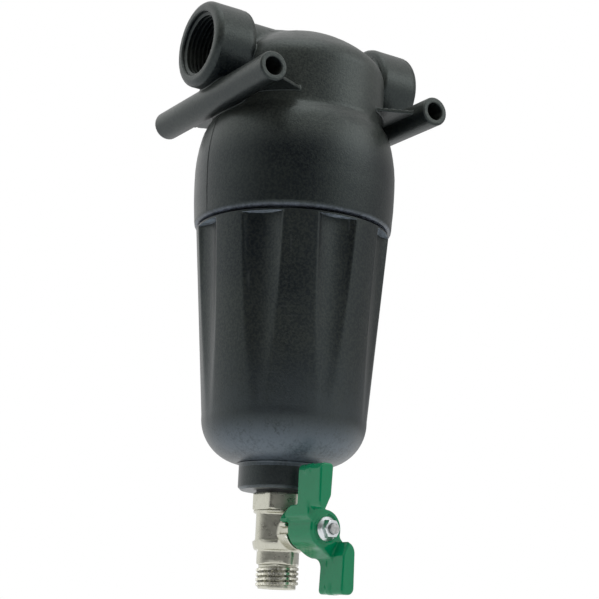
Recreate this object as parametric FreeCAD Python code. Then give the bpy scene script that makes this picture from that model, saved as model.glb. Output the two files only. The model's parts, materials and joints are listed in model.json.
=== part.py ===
# Inline pressure filter: a moulded head with two threaded ports and two bolt tubes, a fluted bowl that
# screws into it, a screen cartridge inside, and a drain ball valve with a butterfly handle below.
#
# Millimetres, +Z up. The origin lies midway between the two mounting bolts, on the filter's own axis.
# Liquid flows from the inlet at -X to the outlet at +X, and the bolts lie along Y. The front is -Y.
import FreeCAD
import Part
import math
import os

Vector = FreeCAD.Vector
ORIGIN = Vector(0, 0, 0)
UP = Vector(0, 0, 1)
ALONG_X = Vector(1, 0, 0)
ALONG_Y = Vector(0, 1, 0)

# Bolt tubes and their webs
bolt_spacing = 97.6
bolt_hole_radius = 4.5
bolt_tube_radius = 7.5
bolt_tube_length = 110.0
bolt_tube_edge = 0.9
web_thickness = 2.0
web_reach = 50.0
web_dome_half_width = 23.0

# Ports, threaded inside for a one inch pipe
port_height = 26.4
port_face_to_face = 124.4
port_thread_radius = 16.65
port_thread_depth = 20.0
port_bore_radius = 13.5
port_collar_radius = 22.4
port_collar_length = 23.0
port_collar_front_round = 3.4
port_collar_back_round = 3.0
port_neck_radius = 17.7
port_mouth_chamfer = 0.8

# Head: dome, shoulder and skirt
dome_radius = 44.9
dome_corner_radius = 13.0
dome_corner_height = 19.2
dome_top_height = 44.9
shoulder_corner_radius = 12.5
shoulder_corner_height = -17.0
shoulder_side_radius = 80.0
head_widest_radius = 52.2
head_widest_height = -36.0
skirt_side_radius = 250.0
lip_height = -62.4
lip_round = 1.6
head_wall = 4.5
head_inner_step_height = -20.0
head_inner_slope_rise = 9.0

# Duct inside the head, from the screen up and out to the outlet
duct_outer_radius = 18.0
duct_bore_radius = 13.5
seat_cup_outer_radius = 25.0
seat_cup_radius = 21.0
seat_cup_depth = 12.0
seat_cup_floor = 4.0
seat_cup_mouth_height = -50.0

# Bowl
bowl_gap = 0.9
bowl_top_radius = 49.7
bowl_bottom_radius = 41.6
bowl_side_length = 96.5
bowl_corner_radius = 22.6
bowl_corner_drop = 1.0
bowl_neck_radius = 43.4
bowl_neck_length = 17.5
bowl_neck_chamfer = 1.2
bowl_inner_top_radius = 38.8
bowl_wall = 4.0
bowl_spigot_radius = 21.5
bowl_spigot_length = 12.9
bowl_spigot_edge = 1.4
bowl_clock_angle = -4.8
thread_clearance = 0.3

# Flutes pressed into the bowl's side
flute_count = 8
flute_depth = 4.8
flute_half_width = 8.1
flute_floor_radius = 20.0
flute_edge_radius = 6.0
flute_wall_angle = 55.0
flute_length = 94.0
flute_run_out = 12.0

# Ribs on the bowl's floor that carry the cartridge
cradle_rib_count = 4
cradle_rib_thickness = 3.0
cradle_rib_inner_radius = 10.0
cradle_rib_lip_height = 5.0

# Rubber ring between bowl and head
bowl_ring_section_radius = 1.25
bowl_ring_height_above_flange = 4.0
ring_groove_play = 0.15
ring_gap = 0.15

# Screen cartridge
cartridge_collar_radius = 20.8
cartridge_collar_bore = 15.0
cartridge_collar_top_gap = 1.0
cartridge_flange_thickness = 4.0
cartridge_flange_gap = 6.0
cage_outer_radius = 29.6
cage_wall = 2.4
cage_ring_height = 4.0
cage_window_rows = 4
cage_rib_count = 8
cage_rib_angle = 8.0
mesh_wall = 0.5
mesh_gap = 0.05
end_cap_thickness = 4.0
end_cap_floor_gap = 1.9
end_cap_lip_height = 5.0
end_cap_lip_wall = 1.6
cap_lip_play = 0.45
collar_ring_section_radius = 1.2
cradle_gap = 0.3

# Drain valve, half inch, screwed into the bowl's spigot
valve_clock_angle = 5.9
drain_thread_radius = 10.48
drain_thread_length = 11.4
socket_play = 0.05
insert_hex_across_flats = 24.2
insert_hex_height = 8.8
insert_clock_angle = 30.0
insert_seal_thickness = 1.0
insert_seal_width = 1.6
insert_bore_radius = 6.0
insert_lower_length = 4.4
insert_lower_radius = 10.4
drain_hole_radius = 7.0
drain_hole_land = 1.5
hex_corner_share = 0.975
valve_chamber_radius = 13.2
valve_chamber_height = 15.6
valve_chamber_edge = 0.6
valve_chamber_across_flats = 22.0
valve_chamber_top_ring = 1.4
valve_chamber_lower_ring = 0.9
valve_cone_height = 3.8
valve_neck_across_flats = 20.0
valve_neck_corner_radius = 11.9
valve_flats_clock_angle = 45.0
valve_neck_height = 7.0
valve_outlet_bore_radius = 7.2
valve_outlet_bore_length = 14.0
valve_thread_chamfer = 0.9
valve_inner_radius = 9.2

# Ball and its seats
ball_radius = 8.5
ball_bore_radius = 5.0
ball_drop = 19.4
ball_slot_width = 3.3
ball_slot_depth = 2.6
seat_outer_radius = 8.4
seat_inner_radius = 5.3
seat_thickness = 3.0
seat_offset = 3.9
ball_gap = 0.2
seat_play = 0.1

# Stem, its packing and gland
stem_boss_radius = 7.2
stem_boss_length = 18.0
stem_radius = 3.4
stem_running_gap = 0.05
stem_collar_radius = 4.8
stem_collar_thickness = 1.6
stem_tang_play = 0.15
stem_tang_seat_gap = 0.3
stem_collar_start = 9.2
thrust_washer_thickness = 0.8
thrust_washer_play = 0.1
packing_radius = 5.4
packing_length = 2.4
gland_thread_radius = 5.4
gland_thread_length = 2.4
gland_hex_across_flats = 11.0
gland_hex_height = 3.0
stem_flat_width = 4.8
stem_stud_radius = 2.5
stem_stud_overhang = 1.5

# Butterfly handle
hub_radius = 9.3
hub_start = 18.0
hub_length = 18.7
hub_edge = 0.9
hub_recess_radius = 7.6
hub_web_thickness = 6.0
hub_hole_play = 0.05
wing_reach = 30.6
wing_inner_offset = 3.6
wing_outer_offset = 11.5
wing_start = 27.8
wing_depth = 17.2
wing_tip_outer_round = 3.2
wing_tip_inner_round = 2.0
wing_foot_height = 6.0
wing_inner_foot_height = 14.0
wing_waist_narrowing = 0.8
upper_root_height = 11.0
upper_root_round = 1.0
upper_root_inset = 0.0
lower_root_height = 13.5
lower_root_round = 5.0
lower_root_inset = 5.2
wing_root_setback = 0.5
wing_front_foot = 8.6
wing_front_slant_rise = 6.4
wing_front_slant_run = 3.1
wing_front_round = 3.4
stop_tab_inner_radius = 7.8
stop_tab_radius = 11.6
stop_tab_length = 4.2
stop_tab_start_angle = 110.0
stop_tab_sweep = 42.0
stop_lug_sweep = 12.0
stop_lug_radius = 11.0
stop_rim_radius = 9.6
stop_rim_gap_angle = 30.0
stop_inner_radius = 6.6
stop_length = 3.6
stop_play_angle = 1.0
handle_travel_angle = 90.0

# Flange nut, M5
nut_flange_radius = 5.9
nut_flange_thickness = 1.2
nut_across_flats = 8.0
nut_height = 5.0

# Sizes that follow from those above
bolt_x = bolt_spacing / 2
bolt_tube_half = bolt_tube_length / 2
port_face_x = port_face_to_face / 2
bowl_flange_height = lip_height - bowl_gap
bowl_side_end_height = bowl_flange_height - bowl_side_length
bowl_corner_centre_height = bowl_side_end_height - bowl_corner_drop
bowl_bottom_height = bowl_corner_centre_height - bowl_corner_radius
spigot_bottom_height = bowl_bottom_height - bowl_spigot_length
bowl_floor_height = bowl_bottom_height + bowl_wall
head_bore_radius = bowl_neck_radius + thread_clearance
ball_height = spigot_bottom_height - ball_drop
insert_top_height = spigot_bottom_height - insert_seal_thickness
insert_bottom_height = insert_top_height - insert_hex_height
valve_chamber_bottom = insert_bottom_height - valve_chamber_height
valve_cone_bottom = valve_chamber_bottom - valve_cone_height
valve_neck_bottom = valve_cone_bottom - valve_neck_height
valve_bottom_height = valve_neck_bottom - drain_thread_length
cartridge_flange_top = seat_cup_mouth_height - cartridge_flange_gap
cartridge_collar_top = seat_cup_mouth_height + seat_cup_depth - cartridge_collar_top_gap
cage_top = cartridge_flange_top - cartridge_flange_thickness
bowl_corner_centre_radius = bowl_bottom_radius - bowl_corner_radius
inner_corner_radius = bowl_corner_radius - bowl_wall
cartridge_flange_radius = cage_outer_radius + mesh_gap + mesh_wall + cap_lip_play + end_cap_lip_wall
past_corner_centre = max(0, cartridge_flange_radius - bowl_corner_centre_radius)
floor_under_cap = bowl_corner_centre_height - math.sqrt(inner_corner_radius ** 2 - past_corner_centre ** 2)
end_cap_bottom = floor_under_cap + end_cap_floor_gap
cage_bottom = end_cap_bottom + end_cap_thickness
cage_length = cage_top - cage_bottom
hub_end = hub_start + hub_length
wing_end = wing_start + wing_depth


def point(radius, height):
    """A point of a turned outline: radius from the axis, height above the origin."""
    return Vector(radius, 0, height)


def line(start, end):
    """A straight edge."""
    return Part.LineSegment(start, end).toShape()


def arc(centre, radius, start_angle, end_angle):
    """An arc in the XZ plane about a centre, its angles counted from +X towards +Z."""
    def at(angle):
        turn = math.radians(angle)
        return centre + Vector(radius * math.cos(turn), 0, radius * math.sin(turn))
    middle = (start_angle + end_angle) / 2
    return Part.Arc(at(start_angle), at(middle), at(end_angle)).toShape()


def outline(points):
    """The straight edges that join the points of an outline, without the closing one."""
    return [line(a, b) for a, b in zip(points, points[1:])]


def turned(edges):
    """A solid turned about the vertical axis from a half outline in the XZ plane."""
    wire = Part.Wire(edges)
    return Part.Face(wire).revolve(ORIGIN, UP, 360)


def turned_from(points):
    """A solid turned from a closed half outline of straight runs."""
    return turned(outline(points + points[:1]))


def cylinder(radius, bottom, top):
    """An upright cylinder on the axis between two heights."""
    return Part.makeCylinder(radius, top - bottom, Vector(0, 0, bottom), UP)


def tube(outer_radius, inner_radius, bottom, top):
    """An upright tube on the axis between two heights."""
    return cylinder(outer_radius, bottom, top).cut(cylinder(inner_radius, bottom - 1, top + 1))


def ring(section_radius, ring_radius, height):
    """A ring of round section about the axis."""
    return Part.makeTorus(ring_radius, section_radius, Vector(0, 0, height), UP)


def polygon_bar(sides, across_flats, corner_radius, bottom, top, flat_towards=0.0):
    """An upright bar with flats whose corners are turned down, one flat facing an angle from -Y."""
    half_side = 180 / sides
    reach = across_flats / 2 / math.cos(math.radians(half_side))
    corners = []
    for step in range(sides + 1):
        turn = math.radians(flat_towards - 90 + half_side + 2 * half_side * step)
        corners.append(Vector(reach * math.cos(turn), reach * math.sin(turn), bottom))
    bar = Part.Face(Part.makePolygon(corners)).extrude(UP * (top - bottom))
    return bar.common(cylinder(corner_radius, bottom, top))


def hexagon(across_flats, corner_radius, bottom, top):
    """An upright hexagonal bar whose corners are turned down, one flat facing -Y."""
    return polygon_bar(6, across_flats, corner_radius, bottom, top)


def turn_about_axis(shape, angle):
    """A copy of a shape turned about the vertical axis."""
    return shape.rotated(ORIGIN, UP, angle)


def along_stem(shape):
    """Lays a shape made upright on the axis down along the stem, its +Z pointing out to the front."""
    lying = shape.rotated(ORIGIN, ALONG_X, 90)
    return lying.translated(Vector(0, 0, ball_height))


def clocked_with_valve(shape):
    """Turns a piece of the valve to where the valve stopped when it was screwed in."""
    return turn_about_axis(shape, valve_clock_angle)


def mirrored_in_x(shape):
    """A copy mirrored to the other side of the YZ plane."""
    return shape.mirror(ORIGIN, ALONG_X)


def fused(shapes):
    """One solid from several that overlap, with its seams removed."""
    first = shapes[0]
    return first.fuse(shapes[1:]).removeSplitter()


def tangent_dome_edges(wall_radius, corner_radius, corner_height, top_height):
    """A corner arc and the crown arc that meets it smoothly and ends on the axis.

    The crown's radius follows from the corner and the top: its centre lies on the axis.
    """
    corner_centre = point(wall_radius - corner_radius, corner_height)
    across = wall_radius - corner_radius
    rise = top_height - corner_height
    crown_radius = (across ** 2 + rise ** 2 - corner_radius ** 2) / (2 * (rise - corner_radius))
    crown_centre = point(0, top_height - crown_radius)
    meet = math.degrees(math.atan2(corner_height - crown_centre.z, across))
    corner = arc(corner_centre, corner_radius, 0, meet)
    crown = arc(crown_centre, crown_radius, meet, 90)
    return corner, crown


def head_outside():
    """The head's turned outside: skirt, rounded shoulder and dome."""
    widest = point(head_widest_radius, head_widest_height)
    skirt_centre = widest - ALONG_X * skirt_side_radius
    skirt_drop = head_widest_height - lip_height - lip_round
    skirt_angle = math.degrees(math.asin(skirt_drop / skirt_side_radius))
    skirt = arc(skirt_centre, skirt_side_radius, -skirt_angle, 0)
    lip_centre = skirt.Vertexes[0].Point - ALONG_X * lip_round
    lip_edge = arc(lip_centre, lip_round, -90, 0)

    side_centre = widest - ALONG_X * shoulder_side_radius
    rise = shoulder_corner_height - head_widest_height
    across = math.sqrt((shoulder_side_radius - shoulder_corner_radius) ** 2 - rise ** 2)
    corner_centre = point(side_centre.x + across, shoulder_corner_height)
    meet = math.degrees(math.atan2(rise, across))
    crease_angle = math.degrees(math.acos((dome_radius - corner_centre.x) / shoulder_corner_radius))
    side = arc(side_centre, shoulder_side_radius, 0, meet)
    shoulder = arc(corner_centre, shoulder_corner_radius, meet, crease_angle)

    crease = shoulder.Vertexes[-1].Point
    dome_wall = line(crease, point(dome_radius, dome_corner_height))
    corner, crown = tangent_dome_edges(dome_radius, dome_corner_radius, dome_corner_height, dome_top_height)
    axis = line(point(0, dome_top_height), point(0, lip_height))
    floor = line(point(0, lip_height), point(lip_centre.x, lip_height))
    return turned([floor, lip_edge, skirt, side, shoulder, dome_wall, corner, crown, axis])


def head_cavity():
    """The room inside the head: the bore the bowl screws into, a slope and the inside of the dome."""
    inner_radius = dome_radius - head_wall
    slope_top = head_inner_step_height + head_inner_slope_rise
    bore_mouth = lip_height - 1
    corner, crown = tangent_dome_edges(inner_radius, dome_corner_radius - head_wall, dome_corner_height,
                                       dome_top_height - head_wall)
    sides = outline([
        point(0, bore_mouth),
        point(head_bore_radius, bore_mouth),
        point(head_bore_radius, head_inner_step_height),
        point(inner_radius, slope_top),
        point(inner_radius, dome_corner_height)])
    axis = line(point(0, dome_top_height - head_wall), point(0, bore_mouth))
    return turned(sides + [corner, crown, axis])


def port_outside():
    """The outlet's collar and neck, along +X."""
    start = port_face_x - port_collar_length
    base = Vector(start, 0, port_height)
    collar = Part.makeCylinder(port_collar_radius, port_collar_length, base, ALONG_X)
    front = [edge for edge in collar.Edges if edge.BoundBox.XMin > port_face_x - 0.001]
    collar = collar.makeFillet(port_collar_front_round, front)
    back = [edge for edge in collar.Edges if edge.BoundBox.XMax < start + 0.001]
    collar = collar.makeFillet(port_collar_back_round, back)
    neck = Part.makeCylinder(port_neck_radius, start + 1, Vector(0, 0, port_height), ALONG_X)
    return [collar, neck]


def port_hole(bore_start):
    """A port's threaded mouth and the bore behind it, along +X from a distance off the axis."""
    thread = Part.makeCylinder(port_thread_radius, port_thread_depth + 1,
                               Vector(port_face_x - port_thread_depth, 0, port_height), ALONG_X)
    mouth = Part.makeCone(port_thread_radius, port_thread_radius + port_mouth_chamfer, port_mouth_chamfer,
                          Vector(port_face_x - port_mouth_chamfer, 0, port_height), ALONG_X)
    bore = Part.makeCylinder(port_bore_radius, port_face_x - bore_start, Vector(bore_start, 0, port_height),
                             ALONG_X)
    return thread.fuse([mouth, bore])


def bolt_tube():
    """The tube at +X that a mounting bolt passes through, solid for now."""
    base = Vector(bolt_x, -bolt_tube_half, 0)
    bar = Part.makeCylinder(bolt_tube_radius, bolt_tube_length, base, ALONG_Y)
    return bar.makeChamfer(bolt_tube_edge, bar.Edges[0:1] + bar.Edges[2:3])


def bolt_hole():
    """The hole through the tube at +X."""
    base = Vector(bolt_x, -bolt_tube_half - 1, 0)
    return Part.makeCylinder(bolt_hole_radius, bolt_tube_length + 2, base, ALONG_Y)


def web():
    """The flat web that ties the tube at +X to the dome, its free edges slanting in to the dome."""
    dome_reach = math.sqrt(dome_radius ** 2 - web_dome_half_width ** 2)
    low = -web_thickness / 2
    corners = [
        Vector(0, 0, low),
        Vector(web_dome_half_width, -dome_reach, low),
        Vector(bolt_x, -web_reach, low),
        Vector(bolt_x, web_reach, low),
        Vector(web_dome_half_width, dome_reach, low),
        Vector(0, 0, low)]
    return Part.Face(Part.makePolygon(corners)).extrude(UP * web_thickness)


def elbow(radius, bottom):
    """A round bend of one radius: up the axis from a height and out along +X."""
    riser = cylinder(radius, bottom, port_height)
    knee = Part.makeSphere(radius, Vector(0, 0, port_height))
    reach = dome_radius - head_wall / 2
    branch = Part.makeCylinder(radius, reach, Vector(0, 0, port_height), ALONG_X)
    return riser.fuse([knee, branch])


def head_casing():
    """The moulded head: outside, ports, tubes and webs, less the room inside, plus the outlet duct."""
    ports = port_outside()
    sides = ports + [mirrored_in_x(shape) for shape in ports]
    tubes = [bolt_tube(), mirrored_in_x(bolt_tube()), web(), mirrored_in_x(web())]
    outside = fused([head_outside()] + sides + tubes)
    hollow = outside.cut(head_cavity())

    cup_top = seat_cup_mouth_height + seat_cup_depth
    cup = cylinder(seat_cup_outer_radius, seat_cup_mouth_height, cup_top + seat_cup_floor)
    duct = elbow(duct_outer_radius, cup_top).fuse(cup)
    casing = hollow.fuse(duct)

    cup_hole = cylinder(seat_cup_radius, seat_cup_mouth_height - 1, cup_top)
    duct_hole = elbow(duct_bore_radius, cup_top - 1)
    beside_duct = (dome_radius - head_wall + duct_outer_radius) / 2
    inlet_hole = mirrored_in_x(port_hole(beside_duct))
    holes = [cup_hole, duct_hole, port_hole(0), inlet_hole, bolt_hole(), mirrored_in_x(bolt_hole())]
    return casing.cut(holes).removeSplitter()


def bowl_side_radius(height):
    """The radius of the bowl's lands at a height on its tapered side."""
    share = (bowl_flange_height - height) / bowl_side_length
    return bowl_top_radius + (bowl_bottom_radius - bowl_top_radius) * share


def bowl_outside():
    """The bowl's turned outside: neck, flange, tapered side, rounded bottom and spigot."""
    neck_top = bowl_flange_height + bowl_neck_length
    corner_centre = point(bowl_corner_centre_radius, bowl_corner_centre_height)
    corner = arc(corner_centre, bowl_corner_radius, -90, 0)
    down = outline([
        point(0, neck_top),
        point(bowl_neck_radius - bowl_neck_chamfer, neck_top),
        point(bowl_neck_radius, neck_top - bowl_neck_chamfer),
        point(bowl_neck_radius, bowl_flange_height),
        point(bowl_top_radius, bowl_flange_height),
        point(bowl_bottom_radius, bowl_side_end_height),
        point(bowl_bottom_radius, bowl_corner_centre_height)])
    spigot = outline([
        corner_centre - UP * bowl_corner_radius,
        point(bowl_spigot_radius, bowl_bottom_height),
        point(bowl_spigot_radius, spigot_bottom_height + bowl_spigot_edge),
        point(bowl_spigot_radius - bowl_spigot_edge, spigot_bottom_height),
        point(0, spigot_bottom_height),
        point(0, neck_top)])
    return turned(down + [corner] + spigot)


def flute_cutter():
    """One flute at +X: a hollow-floored trough whose floor runs out of the tapered side at its lower end."""
    floor_top = bowl_side_radius(bowl_flange_height) - flute_depth
    floor_end = bowl_side_radius(bowl_flange_height - flute_length)
    lean = (floor_end - floor_top) / flute_length
    rise = 1.0

    half_angle = math.degrees(math.asin(flute_half_width / flute_floor_radius))
    floor_centre = point(flute_floor_radius, 0)
    floor = arc(floor_centre, flute_floor_radius, 180 + half_angle, 180 - half_angle)
    turn = math.radians(half_angle)
    toward_centre = Vector(math.cos(turn), 0, -math.sin(turn))
    floor_edge = floor_centre - toward_centre * flute_floor_radius
    edge_centre = floor_edge + toward_centre * flute_edge_radius
    upper_edge = arc(edge_centre, flute_edge_radius, 180 - half_angle, 180 - flute_wall_angle)
    wall_turn = math.radians(flute_wall_angle)
    wall_start = edge_centre + Vector(-math.cos(wall_turn), 0, math.sin(wall_turn)) * flute_edge_radius
    wall_run = flute_floor_radius
    wall_end = wall_start + Vector(math.sin(wall_turn), 0, math.cos(wall_turn)) * wall_run
    upper_wall = line(wall_start, wall_end)
    back = line(wall_end, Vector(wall_end.x, 0, -wall_end.z))
    lower_wall = upper_wall.mirror(ORIGIN, UP)
    lower_edge = upper_edge.mirror(ORIGIN, UP)
    section = Part.Face(Part.Wire([floor, upper_edge, upper_wall, back, lower_wall, lower_edge]))

    flat = section.rotated(ORIGIN, ALONG_X, 90)
    start = flat.translated(Vector(floor_top - lean * rise, 0, bowl_flange_height + rise))
    run = flute_length + flute_run_out + rise
    return start.extrude(Vector(lean * run, 0, -run))


def bowl_cavity():
    """The room inside the bowl, down to its rounded floor."""
    neck_top = bowl_flange_height + bowl_neck_length
    corner_centre = point(bowl_corner_centre_radius, bowl_corner_centre_height)
    corner = arc(corner_centre, inner_corner_radius, 0, -90)
    sides = outline([
        point(0, neck_top + 1),
        point(bowl_inner_top_radius, neck_top + 1),
        point(bowl_inner_top_radius, neck_top - 1),
        point(bowl_bottom_radius - bowl_wall, bowl_corner_centre_height)])
    floor = outline([
        point(corner_centre.x, bowl_floor_height),
        point(0, bowl_floor_height),
        point(0, neck_top + 1)])
    return turned(sides + [corner] + floor)


def cradle_rib():
    """One rib on the bowl's floor at +X: it carries the cartridge and its raised end centres it."""
    seat_height = end_cap_bottom - cradle_gap
    seat_radius = cartridge_flange_radius + cradle_gap
    half = cradle_rib_thickness / 2
    corners = [
        Vector(cradle_rib_inner_radius, -half, bowl_bottom_height + bowl_wall / 2),
        Vector(cradle_rib_inner_radius, -half, seat_height),
        Vector(seat_radius, -half, seat_height),
        Vector(seat_radius, -half, seat_height + cradle_rib_lip_height),
        Vector(bowl_bottom_radius - bowl_wall / 2, -half, seat_height + cradle_rib_lip_height),
        Vector(bowl_bottom_radius - bowl_wall / 2, -half, bowl_bottom_height + bowl_wall / 2),
        Vector(cradle_rib_inner_radius, -half, bowl_bottom_height + bowl_wall / 2)]
    plate = Part.Face(Part.makePolygon(corners)).extrude(ALONG_Y * cradle_rib_thickness)
    return plate.common(bowl_outside())


def bowl_ring_centre():
    """Ring radius and height of the rubber ring's section on the bowl's neck."""
    radius = head_bore_radius - ring_gap - bowl_ring_section_radius
    return radius, bowl_flange_height + bowl_ring_height_above_flange


def bowl():
    """The fluted bowl with its neck, ring groove, floor ribs and threaded spigot."""
    flutes = [turn_about_axis(flute_cutter(), 360 * step / flute_count) for step in range(flute_count)]
    ring_radius, ring_height = bowl_ring_centre()
    groove_half = bowl_ring_section_radius + ring_groove_play
    groove = tube(head_bore_radius, ring_radius - groove_half, ring_height - groove_half,
                  ring_height + groove_half)
    socket_top = spigot_bottom_height + drain_thread_length + drain_hole_land
    socket = cylinder(drain_thread_radius + socket_play, spigot_bottom_height - 1, socket_top)
    drain = cylinder(drain_hole_radius, spigot_bottom_height, bowl_floor_height + 1)
    shell = bowl_outside().cut(flutes + [bowl_cavity(), groove])
    ribs = [turn_about_axis(cradle_rib(), 45 + 360 * step / cradle_rib_count)
            for step in range(cradle_rib_count)]
    body = shell.fuse(ribs).cut([socket, drain]).removeSplitter()
    return turn_about_axis(body, bowl_clock_angle)


def bowl_ring():
    """The rubber ring that seals the bowl in the head."""
    ring_radius, ring_height = bowl_ring_centre()
    return ring(bowl_ring_section_radius, ring_radius, ring_height)


def collar_ring_centre():
    """Ring radius and height of the cartridge seal's section on the collar."""
    radius = seat_cup_radius - ring_gap - collar_ring_section_radius
    return radius, seat_cup_mouth_height + seat_cup_depth / 2


def cartridge_collar():
    """The cartridge's top: a flange over the cage and a collar that plugs into the head's seat cup."""
    bottom = cage_top
    lip = tube(cartridge_flange_radius, cartridge_flange_radius - end_cap_lip_wall,
               bottom - end_cap_lip_height, bottom)
    flange = cylinder(cartridge_flange_radius, bottom, cartridge_flange_top)
    collar = cylinder(cartridge_collar_radius, bottom, cartridge_collar_top)
    ring_radius, ring_height = collar_ring_centre()
    groove_half = collar_ring_section_radius + ring_groove_play
    groove = tube(seat_cup_radius, ring_radius - groove_half, ring_height - groove_half,
                  ring_height + groove_half)
    hole = cylinder(cartridge_collar_bore, bottom - 1, cartridge_collar_top + 1)
    return flange.fuse([collar, lip]).cut([groove, hole]).removeSplitter()


def collar_ring():
    """The rubber ring on the cartridge's collar."""
    ring_radius, ring_height = collar_ring_centre()
    return ring(collar_ring_section_radius, ring_radius, ring_height)


def screen_cage():
    """The ribbed cage that holds the mesh out against the flow."""
    body = tube(cage_outer_radius, cage_outer_radius - cage_wall, cage_bottom, cage_top)
    pitch = (cage_length - cage_ring_height) / cage_window_rows
    window_height = pitch - cage_ring_height
    half_angle = math.radians((360 / cage_rib_count - cage_rib_angle) / 2)
    width = 2 * cage_outer_radius * math.sin(half_angle)
    inner = cage_outer_radius - 2 * cage_wall
    windows = []
    for row in range(cage_window_rows):
        low = cage_bottom + cage_ring_height + pitch * row
        for step in range(cage_rib_count):
            window = Part.makeBox(4 * cage_wall, width, window_height, Vector(inner, -width / 2, low))
            windows.append(turn_about_axis(window, 360 * step / cage_rib_count))
    return body.cut(windows)


def screen_mesh():
    """The steel mesh sleeve round the cage, as a thin tube."""
    inner = cage_outer_radius + mesh_gap
    return tube(inner + mesh_wall, inner, cage_bottom, cage_top)


def screen_end_cap():
    """The closed cap that the cage and mesh stand in."""
    disc = cylinder(cartridge_flange_radius, end_cap_bottom, cage_bottom)
    lip = tube(cartridge_flange_radius, cartridge_flange_radius - end_cap_lip_wall, cage_bottom,
               cage_bottom + end_cap_lip_height)
    return disc.fuse(lip).removeSplitter()


def seat_room():
    """How far above and below the ball's centre the valve's pockets for the seats begin."""
    return insert_bottom_height - insert_lower_length - ball_height


def insert_seal():
    """The flat sealing ring squeezed between the bowl's spigot and the insert's hexagon."""
    inner = drain_thread_radius + socket_play
    return tube(inner + insert_seal_width, inner, insert_top_height, spigot_bottom_height)


def valve_insert():
    """The hexagonal brass piece that screws into the bowl above and into the valve body below."""
    thread_end = spigot_bottom_height + drain_thread_length
    thread = cylinder(drain_thread_radius, insert_top_height, thread_end)
    hexagon_corner = insert_hex_across_flats / 2 / math.cos(math.radians(30)) * hex_corner_share
    nut = polygon_bar(6, insert_hex_across_flats, hexagon_corner, insert_bottom_height, insert_top_height,
                      insert_clock_angle)
    lower = cylinder(insert_lower_radius, insert_bottom_height - insert_lower_length, insert_bottom_height)
    bore = cylinder(insert_bore_radius, insert_bottom_height - insert_lower_length - 1, thread_end + 1)
    pocket = cylinder(seat_outer_radius + seat_play, insert_bottom_height - insert_lower_length - 1,
                      ball_height + seat_offset + seat_thickness)
    body = thread.fuse([nut, lower]).cut([bore, pocket]).removeSplitter()
    return clocked_with_valve(body)


def stop_sector(inner_radius, outer_radius, start_angle, sweep, start, end):
    """A block of a ring about the stem, its angles seen from the front and counted from the right."""
    outer = Part.makeCylinder(outer_radius, end - start, Vector(0, 0, start), UP, sweep)
    block = outer.cut(cylinder(inner_radius, start - 1, end + 1))
    return turn_about_axis(block, start_angle)


def valve_stops():
    """The lug and the part rim round the stem boss that end the stop tab's travel."""
    root = valve_chamber_across_flats / 2 - valve_chamber_edge
    end = hub_start - stop_tab_length + stop_length
    lug_angle = stop_tab_start_angle + stop_tab_sweep + stop_play_angle
    rim_angle = lug_angle + stop_lug_sweep + stop_rim_gap_angle
    rim_end_angle = 360 + stop_tab_start_angle - handle_travel_angle - stop_play_angle
    lug = stop_sector(stop_inner_radius, stop_lug_radius, lug_angle, stop_lug_sweep, root, end)
    rim = stop_sector(stop_inner_radius, stop_rim_radius, rim_angle, rim_end_angle - rim_angle, root, end)
    return [lug, rim]


def valve_body():
    """The brass body: chamber with four flats, stem boss with its stops, square neck and threaded outlet."""
    edge = valve_chamber_edge
    radius = valve_chamber_radius
    chamber = turned_from([
        point(0, insert_bottom_height),
        point(radius - edge, insert_bottom_height),
        point(radius, insert_bottom_height - edge),
        point(radius, valve_chamber_bottom),
        point(valve_neck_corner_radius, valve_cone_bottom),
        point(0, valve_cone_bottom)])
    flats_top = insert_bottom_height - valve_chamber_top_ring
    flats_bottom = valve_chamber_bottom + valve_chamber_lower_ring
    square = polygon_bar(4, valve_chamber_across_flats, 2 * radius, flats_bottom, flats_top,
                         valve_flats_clock_angle)
    beside_flats = cylinder(radius + 1, flats_bottom, flats_top).cut(square)
    chamber = chamber.cut(beside_flats)
    neck = polygon_bar(4, valve_neck_across_flats, valve_neck_corner_radius, valve_neck_bottom,
                       valve_cone_bottom, valve_flats_clock_angle)
    thread = turned_from([
        point(0, valve_neck_bottom),
        point(drain_thread_radius, valve_neck_bottom),
        point(drain_thread_radius, valve_bottom_height + valve_thread_chamfer),
        point(drain_thread_radius - valve_thread_chamfer, valve_bottom_height),
        point(0, valve_bottom_height)])
    boss = along_stem(cylinder(stem_boss_radius, 0, stem_boss_length))
    stops = [along_stem(stop) for stop in valve_stops()]

    room = seat_room()
    socket = cylinder(insert_lower_radius + socket_play, ball_height + room - socket_play,
                      insert_bottom_height + 1)
    cavity = cylinder(valve_inner_radius, ball_height - room, ball_height + room + 1)
    pocket = cylinder(seat_outer_radius + seat_play, ball_height - seat_offset - seat_thickness, ball_height)
    bore = cylinder(ball_bore_radius, valve_bottom_height - 1, ball_height)
    outlet = cylinder(valve_outlet_bore_radius, valve_bottom_height - 1,
                      valve_bottom_height + valve_outlet_bore_length)
    washer_end = stem_collar_start + stem_collar_thickness + 2 * thrust_washer_play + thrust_washer_thickness
    packing_start = stem_boss_length - gland_thread_length - packing_length
    collar_room = along_stem(cylinder(stem_collar_radius + thrust_washer_play, 0, washer_end))
    stem_hole = along_stem(cylinder(stem_radius + stem_running_gap, 0, stem_boss_length + 1))
    packing_room = along_stem(cylinder(packing_radius + socket_play, packing_start, stem_boss_length + 1))
    holes = [socket, cavity, pocket, bore, outlet, collar_room, stem_hole, packing_room]
    body = chamber.fuse([neck, thread, boss] + stops).cut(holes)
    return clocked_with_valve(body)


def ball_seat():
    """The upper soft ring that the ball turns in."""
    bottom = ball_height + seat_offset
    body = tube(seat_outer_radius, seat_inner_radius, bottom, bottom + seat_thickness)
    return body.cut(Part.makeSphere(ball_radius + ball_gap, Vector(0, 0, ball_height)))


def lower_ball_seat():
    """The lower seat, the upper one turned over about the ball's centre."""
    return ball_seat().mirror(Vector(0, 0, ball_height), UP)


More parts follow.
